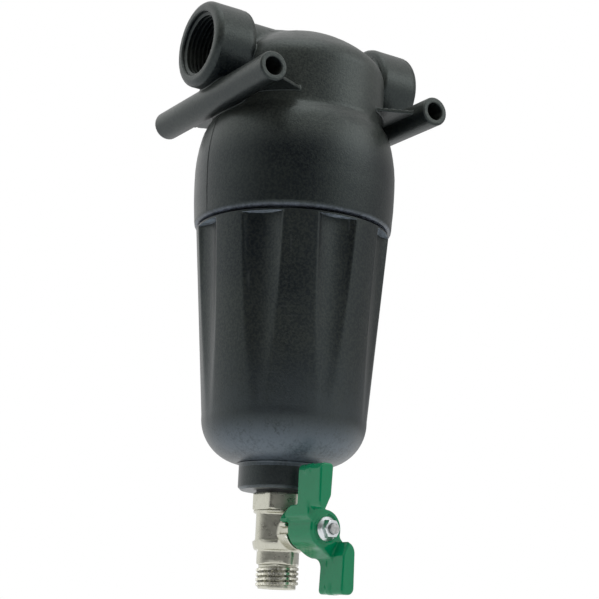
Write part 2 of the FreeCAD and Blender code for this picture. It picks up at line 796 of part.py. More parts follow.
def ball():
    """The drilled ball, with the slot across its front that the stem turns it by."""
    sphere = Part.makeSphere(ball_radius, Vector(0, 0, ball_height))
    bore = cylinder(ball_bore_radius, ball_height - ball_radius - 1, ball_height + ball_radius + 1)
    slot = Part.makeBox(2 * ball_radius, ball_slot_depth + 1, ball_slot_width,
                        Vector(-ball_radius, -ball_radius - 1, ball_height - ball_slot_width / 2))
    return clocked_with_valve(sphere.cut([bore, slot]))


def valve_stem():
    """The stem: a tang in the ball's slot, a collar, a round shaft, a flatted end and a threaded stud."""
    tang_start = ball_radius - ball_slot_depth + stem_tang_play
    tang_thickness = ball_slot_width - 2 * stem_tang_play
    collar_end = stem_collar_start + stem_collar_thickness
    web_start = hub_end - hub_web_thickness
    stud_end = hub_end + nut_height + stem_stud_overhang
    tang_half_width = seat_offset - stem_tang_seat_gap
    tang = Part.makeBox(2 * tang_half_width, tang_thickness, stem_collar_start - tang_start,
                        Vector(-tang_half_width, -tang_thickness / 2, tang_start))
    collar = cylinder(stem_collar_radius, stem_collar_start, collar_end)
    shaft = cylinder(stem_radius, collar_end, web_start)
    stud = cylinder(stem_stud_radius, web_start, stud_end)
    stem = tang.fuse([collar, shaft, flatted_bar(0, web_start, hub_end - hub_hole_play), stud])
    return clocked_with_valve(along_stem(stem.removeSplitter()))


def flatted_bar(play, start, end):
    """The stem's drive end, round with two flats, enlarged all round by a play for the handle's hole."""
    width = 2 * (stem_radius + play)
    height = stem_flat_width + 2 * play
    block = Part.makeBox(width, height, end - start, Vector(-width / 2, -height / 2, start))
    return block.common(cylinder(stem_radius + play, start, end))


def thrust_washer():
    """The thin slippery washer between the stem's collar and the body."""
    start = stem_collar_start + stem_collar_thickness + thrust_washer_play
    washer = tube(stem_collar_radius, stem_radius + stem_running_gap, start, start + thrust_washer_thickness)
    return clocked_with_valve(along_stem(washer))


def stem_packing():
    """The soft packing ring round the stem."""
    start = stem_boss_length - gland_thread_length - packing_length
    packing = tube(packing_radius, stem_radius + stem_running_gap, start, start + packing_length)
    return clocked_with_valve(along_stem(packing))


def gland_nut():
    """The hollow screw that squeezes the packing, with a hexagonal head."""
    start = stem_boss_length - gland_thread_length
    corner = gland_hex_across_flats / 2 / math.cos(math.radians(30)) * hex_corner_share
    thread = cylinder(gland_thread_radius, start, stem_boss_length)
    head = hexagon(gland_hex_across_flats, corner, stem_boss_length, stem_boss_length + gland_hex_height)
    hole = cylinder(stem_radius + stem_running_gap, start - 1, stem_boss_length + gland_hex_height + 1)
    return clocked_with_valve(along_stem(thread.fuse(head).cut(hole).removeSplitter()))


def upright_prism(corners, bottom, top, roundings):
    """A prism on a flat outline of (x, y) corners, with some of its upright edges rounded.

    The roundings are (corner, radius) pairs.
    """
    closed = [Vector(x, y, bottom) for x, y in corners + corners[:1]]
    prism = Part.Face(Part.makePolygon(closed)).extrude(UP * (top - bottom))
    for (x, y), radius in roundings:
        middle = Vector(x, y, (bottom + top) / 2)
        edges = [edge for edge in prism.Edges if edge.CenterOfMass.distanceToPoint(middle) < 0.001]
        prism = prism.makeFillet(radius, edges)
    return prism


def wing(root_height, root_round, root_inset):
    """A wing of the handle, the upper one, offset to the left; its root reaches back beside the hub.

    The back plate runs from the root to the tip, and its root leaves the hub an inset past the middle.
    The front block stands forward of the hub's face.
    """
    outer = -wing_outer_offset
    inner = -wing_inner_offset
    waist = inner - wing_waist_narrowing
    tips = [((outer, wing_reach), wing_tip_outer_round), ((inner, wing_reach), wing_tip_inner_round)]
    root_circle = hub_radius - wing_waist_narrowing
    plate_corners = [
        (0, 0),
        (-root_circle, 0),
        (outer, wing_foot_height),
        (outer, wing_reach),
        (inner, wing_reach),
        (waist, wing_inner_foot_height),
        (root_inset, math.sqrt(root_circle ** 2 - root_inset ** 2))]
    plate = upright_prism(plate_corners, hub_start + wing_root_setback, hub_end, tips)
    behind = Part.makeBox(4 * wing_outer_offset, wing_reach, wing_start,
                          Vector(-2 * wing_outer_offset, root_height, 0))
    corner = [edge for edge in behind.Edges
              if edge.BoundBox.ZMin > wing_start - 0.001 and edge.BoundBox.YMax < root_height + 0.001]
    plate = plate.cut(behind.makeFillet(root_round, corner))

    block_corners = [
        (outer, wing_front_foot),
        (outer, wing_reach),
        (inner, wing_reach),
        (waist, wing_front_foot + wing_front_slant_rise),
        (waist - wing_front_slant_run, wing_front_foot)]
    foot = ((outer, wing_front_foot), wing_front_round)
    block = upright_prism(block_corners, hub_end - wing_root_setback, wing_end, tips + [foot])
    return plate.fuse(block).removeSplitter()


def handle():
    """The butterfly handle: hub, two wings and the stop tab behind the hub."""
    hub = cylinder(hub_radius, hub_start, hub_end)
    front = [edge for edge in hub.Edges if edge.BoundBox.ZMin > hub_end - 0.001]
    hub = hub.makeFillet(hub_edge, front)
    upper = wing(upper_root_height, upper_root_round, upper_root_inset)
    lower = turn_about_axis(wing(lower_root_height, lower_root_round, lower_root_inset), 180)
    tab = stop_sector(stop_tab_inner_radius, stop_tab_radius, stop_tab_start_angle, stop_tab_sweep,
                      hub_start - stop_tab_length, hub_start + hub_edge)
    recess = cylinder(hub_recess_radius, hub_start - stop_tab_length, hub_end - hub_web_thickness)
    hole = flatted_bar(hub_hole_play, hub_end - hub_web_thickness - 1, hub_end + 1)
    body = hub.fuse([upper, lower, tab]).cut([recess, hole]).removeSplitter()
    return clocked_with_valve(along_stem(body))


def handle_nut():
    """The flange nut that holds the handle on the stem."""
    corner = nut_across_flats / 2 / math.cos(math.radians(30)) * hex_corner_share
    flange = cylinder(nut_flange_radius, hub_end, hub_end + nut_flange_thickness)
    nut = hexagon(nut_across_flats, corner, hub_end, hub_end + nut_height)
    hole = cylinder(stem_stud_radius + socket_play, hub_end - 1, hub_end + nut_height + 1)
    return clocked_with_valve(along_stem(flange.fuse(nut).cut(hole).removeSplitter()))


PIECES = {
    "head_casing": head_casing,
    "bowl": bowl,
    "bowl_ring": bowl_ring,
    "cartridge_collar": cartridge_collar,
    "collar_ring": collar_ring,
    "screen_cage": screen_cage,
    "screen_mesh": screen_mesh,
    "screen_end_cap": screen_end_cap,
    "insert_seal": insert_seal,
    "valve_insert": valve_insert,
    "valve_body": valve_body,
    "upper_ball_seat": ball_seat,
    "lower_ball_seat": lower_ball_seat,
    "ball": ball,
    "valve_stem": valve_stem,
    "thrust_washer": thrust_washer,
    "stem_packing": stem_packing,
    "gland_nut": gland_nut,
    "handle": handle,
    "handle_nut": handle_nut,
}


def main():
    """Builds every piece and writes each to its own file."""
    os.makedirs("parts", exist_ok=True)
    for name, make in PIECES.items():
        shape = make()
        shape.exportStep("parts/" + name + ".step")
        box = shape.BoundBox
        print(name, "solids", len(shape.Solids), "valid", shape.isValid(), "volume", round(shape.Volume),
              "z", round(box.ZMin, 1), round(box.ZMax, 1))


main()
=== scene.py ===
"""The inline pressure filter with its finishes, under soft studio light.

The filter hangs by its two bolt tubes. Its moulded head and fluted bowl, the plated drain valve and the
enamelled handle get finely shaped meshes, and the pieces inside keep their solids and get a finish each.
Shapes are worked out in millimetres in the filter's own frame and written in metres.
"""

import json
import logging
import math
from collections.abc import Callable, Sequence
from dataclasses import dataclass
from enum import Enum

import bmesh
import bpy
import numpy as np
import openvdb as vdb
from mathutils import Matrix, Quaternion, Vector


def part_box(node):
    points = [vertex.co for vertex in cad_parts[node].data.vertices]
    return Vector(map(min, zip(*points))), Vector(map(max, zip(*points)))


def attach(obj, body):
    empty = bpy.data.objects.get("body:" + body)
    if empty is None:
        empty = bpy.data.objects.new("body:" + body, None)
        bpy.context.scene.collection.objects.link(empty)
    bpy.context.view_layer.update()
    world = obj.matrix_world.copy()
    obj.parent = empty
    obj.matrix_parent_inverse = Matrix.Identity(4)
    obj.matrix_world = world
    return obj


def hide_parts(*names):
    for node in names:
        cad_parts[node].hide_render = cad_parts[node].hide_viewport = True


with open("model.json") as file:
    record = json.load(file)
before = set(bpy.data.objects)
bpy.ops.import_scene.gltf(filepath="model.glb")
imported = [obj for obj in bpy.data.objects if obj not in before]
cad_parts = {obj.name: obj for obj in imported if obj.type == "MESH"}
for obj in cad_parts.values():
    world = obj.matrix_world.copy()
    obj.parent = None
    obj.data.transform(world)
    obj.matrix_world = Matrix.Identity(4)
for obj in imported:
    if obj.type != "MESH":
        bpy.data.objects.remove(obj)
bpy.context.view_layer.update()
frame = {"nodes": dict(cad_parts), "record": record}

METRES = 0.001
PAST = 3.0  # how far a cutting shape runs past the piece it cuts, in millimetres
LAP = 1.0  # how far two shapes that join run into each other, in millimetres
SEAM_WELD = 1e-7  # how near two vertices of a seam lie, in metres
BOWL_NECK = 18.0  # how far the bowl's neck stands above its flange, in millimetres
VALVE_CLOCK = 5.9  # how far the valve is turned about the upright axis, in degrees
# FRONT also keeps a painted reflection on the bowl's lower corner to the side toward the camera.
FRONT = (-0.45, -0.89)  # the way to the camera in the XY plane, for finishes that only the front has
log = logging.getLogger("filter")

Array = np.ndarray
Field = Callable[[Array, Array, Array], Array]
Span = tuple[float, float]
Colour = tuple[float, float, float]
Place = tuple[float, float, float]
Knob = float | int | bpy.types.Object


class Body(Enum):
    """The bodies that the new pieces ride on."""

    HEAD = "head"
    BOWL = "bowl"
    HANDLE = "drain_handle"


class Slot(Enum):
    """The new pieces' finishes, by the record's names."""

    PLASTIC = "black_polypropylene"
    NICKEL = "nickelled_brass"
    ENAMEL = "green_enamel"
    ZINC = "zinc_steel"


# The frame


def node_heights(node: str) -> Span:
    """A node's lowest and highest point, in millimetres."""
    low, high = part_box(node)
    return low.z / METRES, high.z / METRES


def mount(name: str) -> dict:
    """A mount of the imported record."""
    return next(m for m in frame["record"]["mounts"] if m["name"] == name)


# Distances: each function takes or gives signed distances in millimetres, negative inside


def joined(a: Array, b: Array, fillet: float = 0.0) -> Array:
    """Two shapes as one, with a round fillet where they meet.

    Args:
        a: Distances to the first shape.
        b: Distances to the second shape.
        fillet: Radius of the fillet.

    Returns:
        Distances to the joined shape.
    """
    if fillet == 0:
        return np.minimum(a, b)
    near = np.hypot(np.maximum(fillet - a, 0), np.maximum(fillet - b, 0))
    return np.maximum(fillet, np.minimum(a, b)) - near


def common(a: Array, b: Array, rounding: float = 0.0) -> Array:
    """What two shapes share, with the edge between them rounded."""
    return -joined(-a, -b, rounding)


def without(a: Array, b: Array, rounding: float = 0.0) -> Array:
    """The first shape less the second, with the edge between them rounded."""
    return common(a, -b, rounding)


def slab(along: Array, low: float, high: float) -> Array:
    """Distance to the room between two parallel planes."""
    return np.abs(along - (low + high) / 2) - (high - low) / 2


def rod(across: Array, along: Array, radius: float, ends: Span, rounding: float = 0.0) -> Array:
    """Distance to a cylinder.

    Args:
        across: Distance from the cylinder's axis.
        along: Place along the axis.
        radius: The cylinder's radius.
        ends: Where it starts and ends along the axis.
        rounding: Radius of the rounded rims.

    Returns:
        Signed distances.
    """
    return common(across - radius, slab(along, *ends), rounding)


def flats(x: Array, y: Array, across: float, sides: int, facing: float) -> Array:
    """Distance to an endless bar with an even number of flats, one of them facing an angle from -Y.

    Args:
        x, y: Places across the bar.
        across: Distance between opposite flats.
        sides: How many flats.
        facing: The first flat's angle, in degrees.

    Returns:
        Signed distances.
    """
    best = None
    for side in range(sides // 2):
        turn = math.radians(facing - 90 + 360 / sides * side)
        reach = np.abs(x * math.cos(turn) + y * math.sin(turn)) - across / 2
        best = reach if best is None else np.maximum(best, reach)
    return best


def sector(x: Array, y: Array, start: float, sweep: float) -> Array:
    """Rough distance to a wedge about the axis that starts at an angle and sweeps on, in degrees.

    Args:
        x, y: Places across the axis.
        start: Angle at which the wedge starts.
        sweep: Angle that it takes up.

    Returns:
        Signed distances.
    """
    middle = math.radians(start + sweep / 2)
    off = np.abs((np.arctan2(y, x) - middle + math.pi) % (2 * math.pi) - math.pi)
    return (off - math.radians(sweep) / 2) * np.hypot(x, y)


class Outline:
    """A closed outline in a plane, walked with straight runs, rounded corners and arcs."""

    arc_step = math.radians(5)

    def __init__(self) -> None:
        """Starts with no points."""
        self.corners: list[tuple[float, float, float]] = []

    def to(self, u: float, v: float, rounding: float = 0.0) -> "Outline":
        """Runs straight to a corner, which may be rounded, and gives the outline back."""
        self.corners.append((u, v, rounding))
        return self

    def arc(self, centre: Span, radius: float, start: float, end: float) -> "Outline":
        """Adds an arc about a centre between two angles in radians, and gives the outline back.

        Args:
            centre: The arc's centre.
            radius: Its radius.
            start: Angle at which it starts.
            end: Angle at which it ends.

        Returns:
            The same outline.
        """
        steps = max(2, math.ceil(abs(end - start) / self.arc_step))
        for angle in np.linspace(start, end, steps + 1):
            self.to(centre[0] + radius * math.cos(angle), centre[1] + radius * math.sin(angle))
        return self

    def points(self) -> Array:
        """The outline's points in order, with rounded corners turned into arcs.

        Returns:
            One row for each point.
        """
        count = len(self.corners)
        made: list[Array] = []
        for index, (u, v, rounding) in enumerate(self.corners):
            corner = np.array((u, v))
            if rounding == 0:
                made.append(corner)
                continue
            before = np.array(self.corners[index - 1][:2]) - corner
            after = np.array(self.corners[(index + 1) % count][:2]) - corner
            made.extend(self._rounded(corner, before, after, rounding))
        return np.array(made)

    def _rounded(self, corner: Array, before: Array, after: Array, rounding: float) -> list[Array]:
        """The arc's points that replace one corner.

        Args:
            corner: The corner's place.
            before: The way to the corner before it.
            after: The way to the corner after it.
            rounding: The arc's radius.

        Returns:
            The points in order.
        """
        before = before / np.linalg.norm(before)
        after = after / np.linalg.norm(after)
        half = math.acos(float(np.clip(before @ after, -1, 1))) / 2
        bisector = (before + after) / np.linalg.norm(before + after)
        centre = corner + bisector * rounding / math.sin(half)
        start = corner + before * rounding / math.tan(half) - centre
        end = corner + after * rounding / math.tan(half) - centre
        turn = math.pi - 2 * half
        steps = max(2, math.ceil(turn / self.arc_step))
        shares = np.linspace(0, 1, steps + 1)
        return [centre + (math.sin((1 - s) * turn) * start + math.sin(s * turn) * end) / math.sin(turn)
                for s in shares]


class DistanceTable:
    """Signed distances to a closed outline, kept on a table and read between its cells.

    Places beyond the table are read at its edge, a hair before the last row.
    """

    cell = 0.25
    margin = 6.0
    last = 1.001

    def __init__(self, outline: Outline) -> None:
        """Fills the table over the outline's box and a margin around it.

        Args:
            outline: The closed outline.
        """
        corners = outline.points()
        self.low = corners.min(0) - self.margin
        counts = np.ceil((corners.max(0) + self.margin - self.low) / self.cell).astype(int) + 1
        u = self.low[0] + self.cell * np.arange(counts[0])[:, None]
        v = self.low[1] + self.cell * np.arange(counts[1])[None, :]
        self.table = self._distances(u, v, corners)

    @staticmethod
    def _distances(u: Array, v: Array, corners: Array) -> Array:
        """Signed distances from a grid of places to a closed polygon.

        Args:
            u, v: The grid's places along each way.
            corners: The polygon's corners.

        Returns:
            The grid's distances.
        """
        nearest = np.full((u.shape[0], v.shape[1]), np.inf)
        inside = np.zeros(nearest.shape, bool)
        for (u0, v0), (u1, v1) in zip(corners, np.roll(corners, -1, axis=0)):
            du, dv = u1 - u0, v1 - v0
            length_squared = du * du + dv * dv
            if length_squared == 0:
                continue
            share = np.clip(((u - u0) * du + (v - v0) * dv) / length_squared, 0, 1)
            nearest = np.minimum(nearest, (u - u0 - share * du) ** 2 + (v - v0 - share * dv) ** 2)
            if dv != 0:
                inside ^= ((v0 <= v) != (v1 <= v)) & (u < u0 + (v - v0) * du / dv)
        return np.where(inside, -1, 1) * np.sqrt(nearest)

    def __call__(self, u: Array, v: Array) -> Array:
        """Reads the table between its cells at places in the outline's plane.

        Args:
            u, v: The places.

        Returns:
            Signed distances.
        """
        a = np.clip((u - self.low[0]) / self.cell, 0, self.table.shape[0] - self.last)
        b = np.clip((v - self.low[1]) / self.cell, 0, self.table.shape[1] - self.last)
        i, j = a.astype(int), b.astype(int)
        a, b = a - i, b - j
        low_side = self.table[i, j] * (1 - a) + self.table[i + 1, j] * a
        high_side = self.table[i, j + 1] * (1 - a) + self.table[i + 1, j + 1] * a
        return low_side * (1 - b) + high_side * b


# Meshes


@dataclass(frozen=True)
class Mesher:
    """Turns a field of distances into a closed mesh.

    The mesh's vertices are moved onto the exact surface, and their normals are read from the field.
    """

    cell: float
    thinning: float = 0.0
    settle_steps: int = 2
    least_steepness: float = 0.05
    least_length: float = 1e-6
    probe: float = 0.15
    fine: tuple[float, float, float] | None = None

    def _refined(self, heights: Array) -> Array:
        """Puts closer layers between the two heights of the fine band, at the band's own spacing.

        Args:
            heights: The layers' heights.

        Returns:
            The heights with the band's own among them.
        """
        low, high, spacing = self.fine
        between = np.arange(low, high, spacing)
        return np.concatenate([heights[heights < low], between, heights[heights > high]])

    def slope(self, shape: Field, places: Array) -> Array:
        """The field's gradient at places, from two readings each way.

        Args:
            shape: The field of distances.
            places: One row for each place.

        Returns:
            One row for each gradient.
        """
        columns = []
        for axis in np.eye(3) * self.probe:
            ahead, behind = places + axis, places - axis
            columns.append((shape(*ahead.T) - shape(*behind.T)) / (2 * self.probe))
        return np.stack(columns, axis=1)

    def build(self, name: str, material: bpy.types.Material, shape: Field, low: Sequence[float],
              high: Sequence[float], turn: Matrix | None = None) -> bpy.types.Object:
        """Meshes a shape.

        Args:
            name: The new object's name.
            material: Its finish.
            shape: The field of distances, in millimetres.
            low: Lowest corner of the room that the shape fills.
            high: Highest corner of that room.
            turn: Where the shape's own frame stands in the filter's, in millimetres.

        Returns:
            The new object, in metres.
        """
        axes = [np.arange(a - 2 * self.cell, b + 3 * self.cell, self.cell) for a, b in zip(low, high)]
        if self.fine:
            axes[2] = self._refined(axes[2])
        x, y, z = np.meshgrid(*axes, indexing="ij", sparse=True)
        values = np.broadcast_to(shape(x, y, z), tuple(len(axis) for axis in axes))
        grid = vdb.FloatGrid(10 * self.cell)
        grid.copyFromArray(values.astype(np.float32))
        points, triangles, quads = grid.convertToPolygons(isovalue=0.0, adaptivity=self.thinning)
        places = np.stack([np.interp(points[:, i], np.arange(len(axis)), axis)
                           for i, axis in enumerate(axes)], axis=1)
        for _ in range(self.settle_steps):
            slope = self.slope(shape, places)
            steepness = np.maximum((slope ** 2).sum(1), self.least_steepness)
            move = slope * (shape(*places.T) / steepness)[:, None]
            places -= np.clip(move, -self.cell / 2, self.cell / 2)
        normals = self.slope(shape, places)
        normals /= np.maximum(np.linalg.norm(normals, axis=1), self.least_length)[:, None]
        faces = [tuple(face) for face in triangles] + [tuple(face) for face in quads]
        if turn is not None:
            matrix = np.array(turn)
            places = places @ matrix[:3, :3].T + matrix[:3, 3]
            normals = normals @ matrix[:3, :3].T
        made = new_object(name, places, faces, normals)
        made.data.materials.append(material)
        return made


def stood(name: str, data: bpy.types.ID) -> bpy.types.Object:
    """A new object in the scene, for a mesh, a camera or a lamp.

    Args:
        name: The object's name.
        data: What it shows.

    Returns:
        The new object.
    """
    made = bpy.data.objects.new(name, data)
    bpy.context.scene.collection.objects.link(made)
    return made


def new_object(name: str, places: Array, faces: Sequence[Sequence[int]],
               normals: Array | None = None) -> bpy.types.Object:
    """Makes a mesh object at the origin from places in millimetres.

    Args:
        name: The object's name.
        places: The vertices, in millimetres.
        faces: Each face's vertex numbers, turning left as seen from outside.
        normals: Each vertex's normal, where the mesh is to be shaded by them.

    Returns:
        The new object.
    """
    mesh = bpy.data.meshes.new(name)
    mesh.from_pydata((places * METRES).tolist(), [], faces)
    mesh.validate()
    mesh.shade_smooth()
    if normals is not None:
        mesh.normals_split_custom_set_from_vertices(normals.tolist())
    mesh.update()
    return stood(name, mesh)


def close_and_turn_out(piece: bpy.types.Object) -> None:
    """Welds a swept mesh's seam, closes its ends and points its faces outwards.

    Args:
        piece: The object to mend.
    """
    work = bmesh.new()
    work.from_mesh(piece.data)
    bmesh.ops.remove_doubles(work, verts=work.verts, dist=SEAM_WELD)
    open_edges = [edge for edge in work.edges if edge.is_boundary]
    if open_edges:
        bmesh.ops.holes_fill(work, edges=open_edges)
    bmesh.ops.recalc_face_normals(work, faces=work.faces)
    work.to_mesh(piece.data)
    work.free()


def tie(piece: bpy.types.Object, body: Body, slot: Slot, *nodes: str) -> None:
    """Ties a finished piece to its body and hides the nodes that it stands for.

    Args:
        piece: The finished object.
        body: The body that it rides on.
        slot: The record's finish for it; not used.
        nodes: The nodes that it replaces.
    """
    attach(piece, body.value)
    if nodes:
        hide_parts(*nodes)
    triangles = sum(len(face.vertices) - 2 for face in piece.data.polygons)
    log.info("%s: %d triangles on %s", piece.name, triangles, body.value)


# Node trees


@dataclass(frozen=True)
class Formula:
    """A number in a node tree that takes ordinary arithmetic: each step adds one Math node."""

    tree: "Tree"
    socket: bpy.types.NodeSocket

    def then(self, operation: str, *others: "Formula | float") -> "Formula":
        """Adds a Math node that takes this number first, and gives its result."""
        return self.tree.number("ShaderNodeMath", dict(enumerate((self, *others))), operation=operation)

    def __add__(self, other: "Formula | float") -> "Formula":
        """Sum."""
        return self.then("ADD", other)

    def __sub__(self, other: "Formula | float") -> "Formula":
        """Difference."""
        return self.then("SUBTRACT", other)

    def __mul__(self, other: "Formula | float") -> "Formula":
        """Product."""
        return self.then("MULTIPLY", other)

    def __truediv__(self, other: "Formula | float") -> "Formula":
        """Quotient."""
        return self.then("DIVIDE", other)


class Tree:
    """A node tree under construction."""

    def __init__(self, tree: bpy.types.NodeTree) -> None:
        """Takes the tree to build in."""
        self.tree = tree

    def feed(self, place: bpy.types.NodeSocket, value: object) -> None:
        """Links a socket or formula to an input, or sets the input's value.

        Args:
            place: The input.
            value: What it gets.
        """
        if isinstance(value, Formula):
            value = value.socket
        if isinstance(value, bpy.types.NodeSocket):
            self.tree.links.new(value, place)
        else:
            place.default_value = value

    def node(self, kind: str, inputs: dict[str | int, object] | None = None,
             **settings: object) -> bpy.types.Node:
        """Adds a node.

        Args:
            kind: The node's type.
            inputs: What its inputs get, by their names or numbers.
            settings: Its properties, which are set first.

        Returns:
            The new node.
        """
        made = self.tree.nodes.new(kind)
        for key, value in settings.items():
            setattr(made, key, value)
        for key, value in (inputs or {}).items():
            self.feed(made.inputs[key], value)
        return made

    def number(self, kind: str, inputs: dict[str | int, object] | None = None, output: str | int = 0,
               **settings: object) -> Formula:
        """Adds a node and gives one of its outputs as a number."""
        return Formula(self, self.node(kind, inputs, **settings).outputs[output])

    def vector(self, operation: str, *inputs: object) -> bpy.types.Node:
        """Adds a Vector Math node."""
        return self.node("ShaderNodeVectorMath", dict(enumerate(inputs)), operation=operation)

    def parts(self, vector: bpy.types.NodeSocket) -> tuple[Formula, Formula, Formula]:
        """A vector's three numbers."""
        split = self.node("ShaderNodeSeparateXYZ", {0: vector})
        return tuple(Formula(self, split.outputs[axis]) for axis in range(3))

    def ramp(self, value: Formula, low: Formula | float, high: Formula | float,
             levels: Span = (0.0, 1.0)) -> Formula:
        """A number eased from one level at a low value to another level at a high one.

        Args:
            value: The number.
            low: Where the first level ends.
            high: Where the other level begins.
            levels: The two levels.

        Returns:
            The eased number.
        """
        return self.number("ShaderNodeMapRange", {
            "Value": value, "From Min": low, "From Max": high, "To Min": levels[0], "To Max": levels[1],
        }, "Result", interpolation_type="SMOOTHSTEP")


class Group(Tree):
    """A node group with named inputs."""

    def __init__(self, name: str, kind: str, inputs: dict[str, str]) -> None:
        """Makes a group of a kind, with inputs whose types are given by name.

        Args:
            name: The group's name.
            kind: The type of its tree.
            inputs: The type of each input's socket, by name.
        """
        super().__init__(bpy.data.node_groups.new(name, kind))
        self.sockets = {key: self.tree.interface.new_socket(key, in_out="INPUT", socket_type=socket)
                        for key, socket in inputs.items()}
        self.entry = self.tree.nodes.new("NodeGroupInput")

    def __getitem__(self, name: str) -> Formula:
        """A named input."""
        return Formula(self, self.entry.outputs[name])

    def end(self, kind: str, values: dict[str, Formula | bpy.types.NodeSocket]) -> None:
        """Ends the group with named outputs of one type.

        Args:
            kind: The type of the outputs' sockets.
            values: What each named output gives.
        """
        for key in values:
            self.tree.interface.new_socket(key, in_out="OUTPUT", socket_type=kind)
        self.node("NodeGroupOutput", values)


class Growth(Group):
    """A Geometry Nodes tree that is run once into a plain mesh, with its inputs' values."""

    kinds = {int: "NodeSocketInt", float: "NodeSocketFloat", bpy.types.Object: "NodeSocketObject"}

    def __init__(self, name: str, knobs: dict[str, Knob]) -> None:
        """Makes an empty tree with an input for each named value."""
        super().__init__(name, "GeometryNodeTree", {key: self.kinds[type(knobs[key])] for key in knobs})
        self.knobs = knobs

    def drawn(self, name: str) -> bpy.types.NodeSocket:
        """The geometry of the object that a named input holds."""
        source = self.node("GeometryNodeObjectInfo", {"Object": self[name]})
        return source.outputs["Geometry"]

    def finish(self, geometry: bpy.types.NodeSocket, material: bpy.types.Material) -> None:
        """Ends the tree with real geometry and its material.

        Args:
            geometry: The grown shape.
            material: Its finish.
        """
        real = self.node("GeometryNodeRealizeInstances", {0: geometry})
        dressed = self.node("GeometryNodeSetMaterial", {"Geometry": real.outputs[0], "Material": material})
        self.end("NodeSocketGeometry", {"Geometry": dressed.outputs[0]})

    def run(self, name: str, sharp_angle: float) -> bpy.types.Object:
        """Runs the tree, keeps its result as a plain mesh and removes the objects that it read.

        Args:
            name: The new object's name.
            sharp_angle: Edges that turn by more than this angle, in degrees, stay sharp.

        Returns:
            The new object.
        """
        host = stood(name + "_host", bpy.data.meshes.new(name + "_host"))
        modifier = host.modifiers.new("Growth", "NODES")
        modifier.node_group = self.tree
        for key, value in self.knobs.items():
            modifier[self.sockets[key].identifier] = value
        bpy.context.view_layer.update()
        ready = host.evaluated_get(bpy.context.evaluated_depsgraph_get())
        mesh = bpy.data.meshes.new_from_object(ready)
        host.modifiers.remove(modifier)
        read = [value for value in self.knobs.values() if isinstance(value, bpy.types.Object)]
        for spent in (host, *read):
            bpy.data.objects.remove(spent)
        mesh.name = name
        mesh.shade_smooth()
        mesh.set_sharp_from_angle(angle=math.radians(sharp_angle))
        return stood(name, mesh)


def guide(name: str, outline: Array) -> bpy.types.Object:
    """An object for a tree to read: a line through points (u, v) in millimetres, as (x, 0, z).

    Args:
        name: The object's name.
        outline: One row for each point.

    Returns:
        The new object.
    """
    places = np.insert(outline, 1, 0.0, axis=1) * METRES
    mesh = bpy.data.meshes.new(name)
    mesh.from_pydata(places.tolist(), [(i, i + 1) for i in range(len(places) - 1)], [])
    return stood(name, mesh)


class Sweep(Growth):
    """A tree that wraps a sheet round a closed section: one way runs the path, the other the section."""

    def __init__(self, name: str, section: Array, steps: int, knobs: dict[str, Knob]) -> None:
        """Makes the sheet and reads the section at each of its vertices.

        Args:
            name: The tree's name.
            section: The section's points (u, v) in order, in millimetres.
            steps: Steps along the path.
            knobs: The tree's further inputs.
        """
        own = {"Section": guide(name + "_section", section), "Steps": steps, "Section points": len(section)}
        super().__init__(name, own | knobs)
        self.sheet = self.node("GeometryNodeMeshGrid", {
            "Size X": 1.0, "Size Y": 1.0, "Vertices X": self["Steps"] + 1,
            "Vertices Y": self["Section points"] + 1})
        place = self.node("GeometryNodeInputPosition").outputs[0]
        x, y, _ = self.parts(place)
        self.share = x + 0.5
        index = ((y + 0.5) * self["Section points"]).then("ROUND")
        index = index.then("FLOORED_MODULO", self["Section points"])
        read = self.node("GeometryNodeSampleIndex", {
            "Geometry": self.drawn("Section"), "Index": index}, data_type="FLOAT_VECTOR")
        self.feed(next(s for s in read.inputs if s.name == "Value" and s.enabled), place)
        self.u, _, self.v = self.parts(next(s for s in read.outputs if s.enabled))

    def wrap(self, x: Formula, y: Formula, z: Formula, weld: float) -> bpy.types.NodeSocket:
        """Puts the sheet's vertices in place and welds the ones that meet, in metres.

        Args:
            x, y, z: Where the vertices go.
            weld: How near they lie where they meet.

        Returns:
            The wrapped mesh.
        """
        target = self.node("ShaderNodeCombineXYZ", {0: x, 1: y, 2: z})
        moved = self.node("GeometryNodeSetPosition", {
            "Geometry": self.sheet.outputs["Mesh"], "Position": target.outputs[0]})
        welded = self.node("GeometryNodeMergeByDistance", {
            "Geometry": moved.outputs[0], "Distance": weld})
        return welded.outputs[0]

    def run(self, name: str, sharp_angle: float) -> bpy.types.Object:
        """Runs the tree and closes the mesh.

        Args:
            name: The new object's name.
            sharp_angle: As for any tree.

        Returns:
            The new object.
        """
        made = super().run(name, sharp_angle)
        close_and_turn_out(made)
        return made


# Shader groups, each built once and used by several finishes


class ShaderGroup(Group):
    """A shader node group: it reads a place and named numbers, and puts out named numbers."""

    def __init__(self, name: str, **inputs: float) -> None:
        """Makes the group, each input with its usual value.

        Args:
            name: The group's name.
            inputs: The usual value of each named input.
        """
        kinds = dict.fromkeys(inputs, "NodeSocketFloat")
        super().__init__(name, "ShaderNodeTree", {"Place": "NodeSocketVector", **kinds})
        for key, value in inputs.items():
            self.sockets[key].default_value = value
        self.place = self.entry.outputs["Place"]

    def noise(self, scale: Formula | float, detail: float, stretch: Place | None = None) -> Formula:
        """A noise over the surface, from 0 to 1, whose places may be stretched along the axes."""
        place = self.vector("MULTIPLY", self.place, stretch).outputs[0] if stretch else self.place
        return self.number("ShaderNodeTexNoise", {"Vector": place, "Scale": scale, "Detail": detail}, "Fac")

    def lean(self) -> Formula:
        """How far the surface faces up, from -1 to 1."""
        return self.parts(self.node("ShaderNodeNewGeometry").outputs["Normal"])[2]

    def give(self, **values: Formula) -> bpy.types.NodeTree:
        """Sets the named outputs and gives the finished group."""
        self.end("NodeSocketFloat", values)
        return self.tree


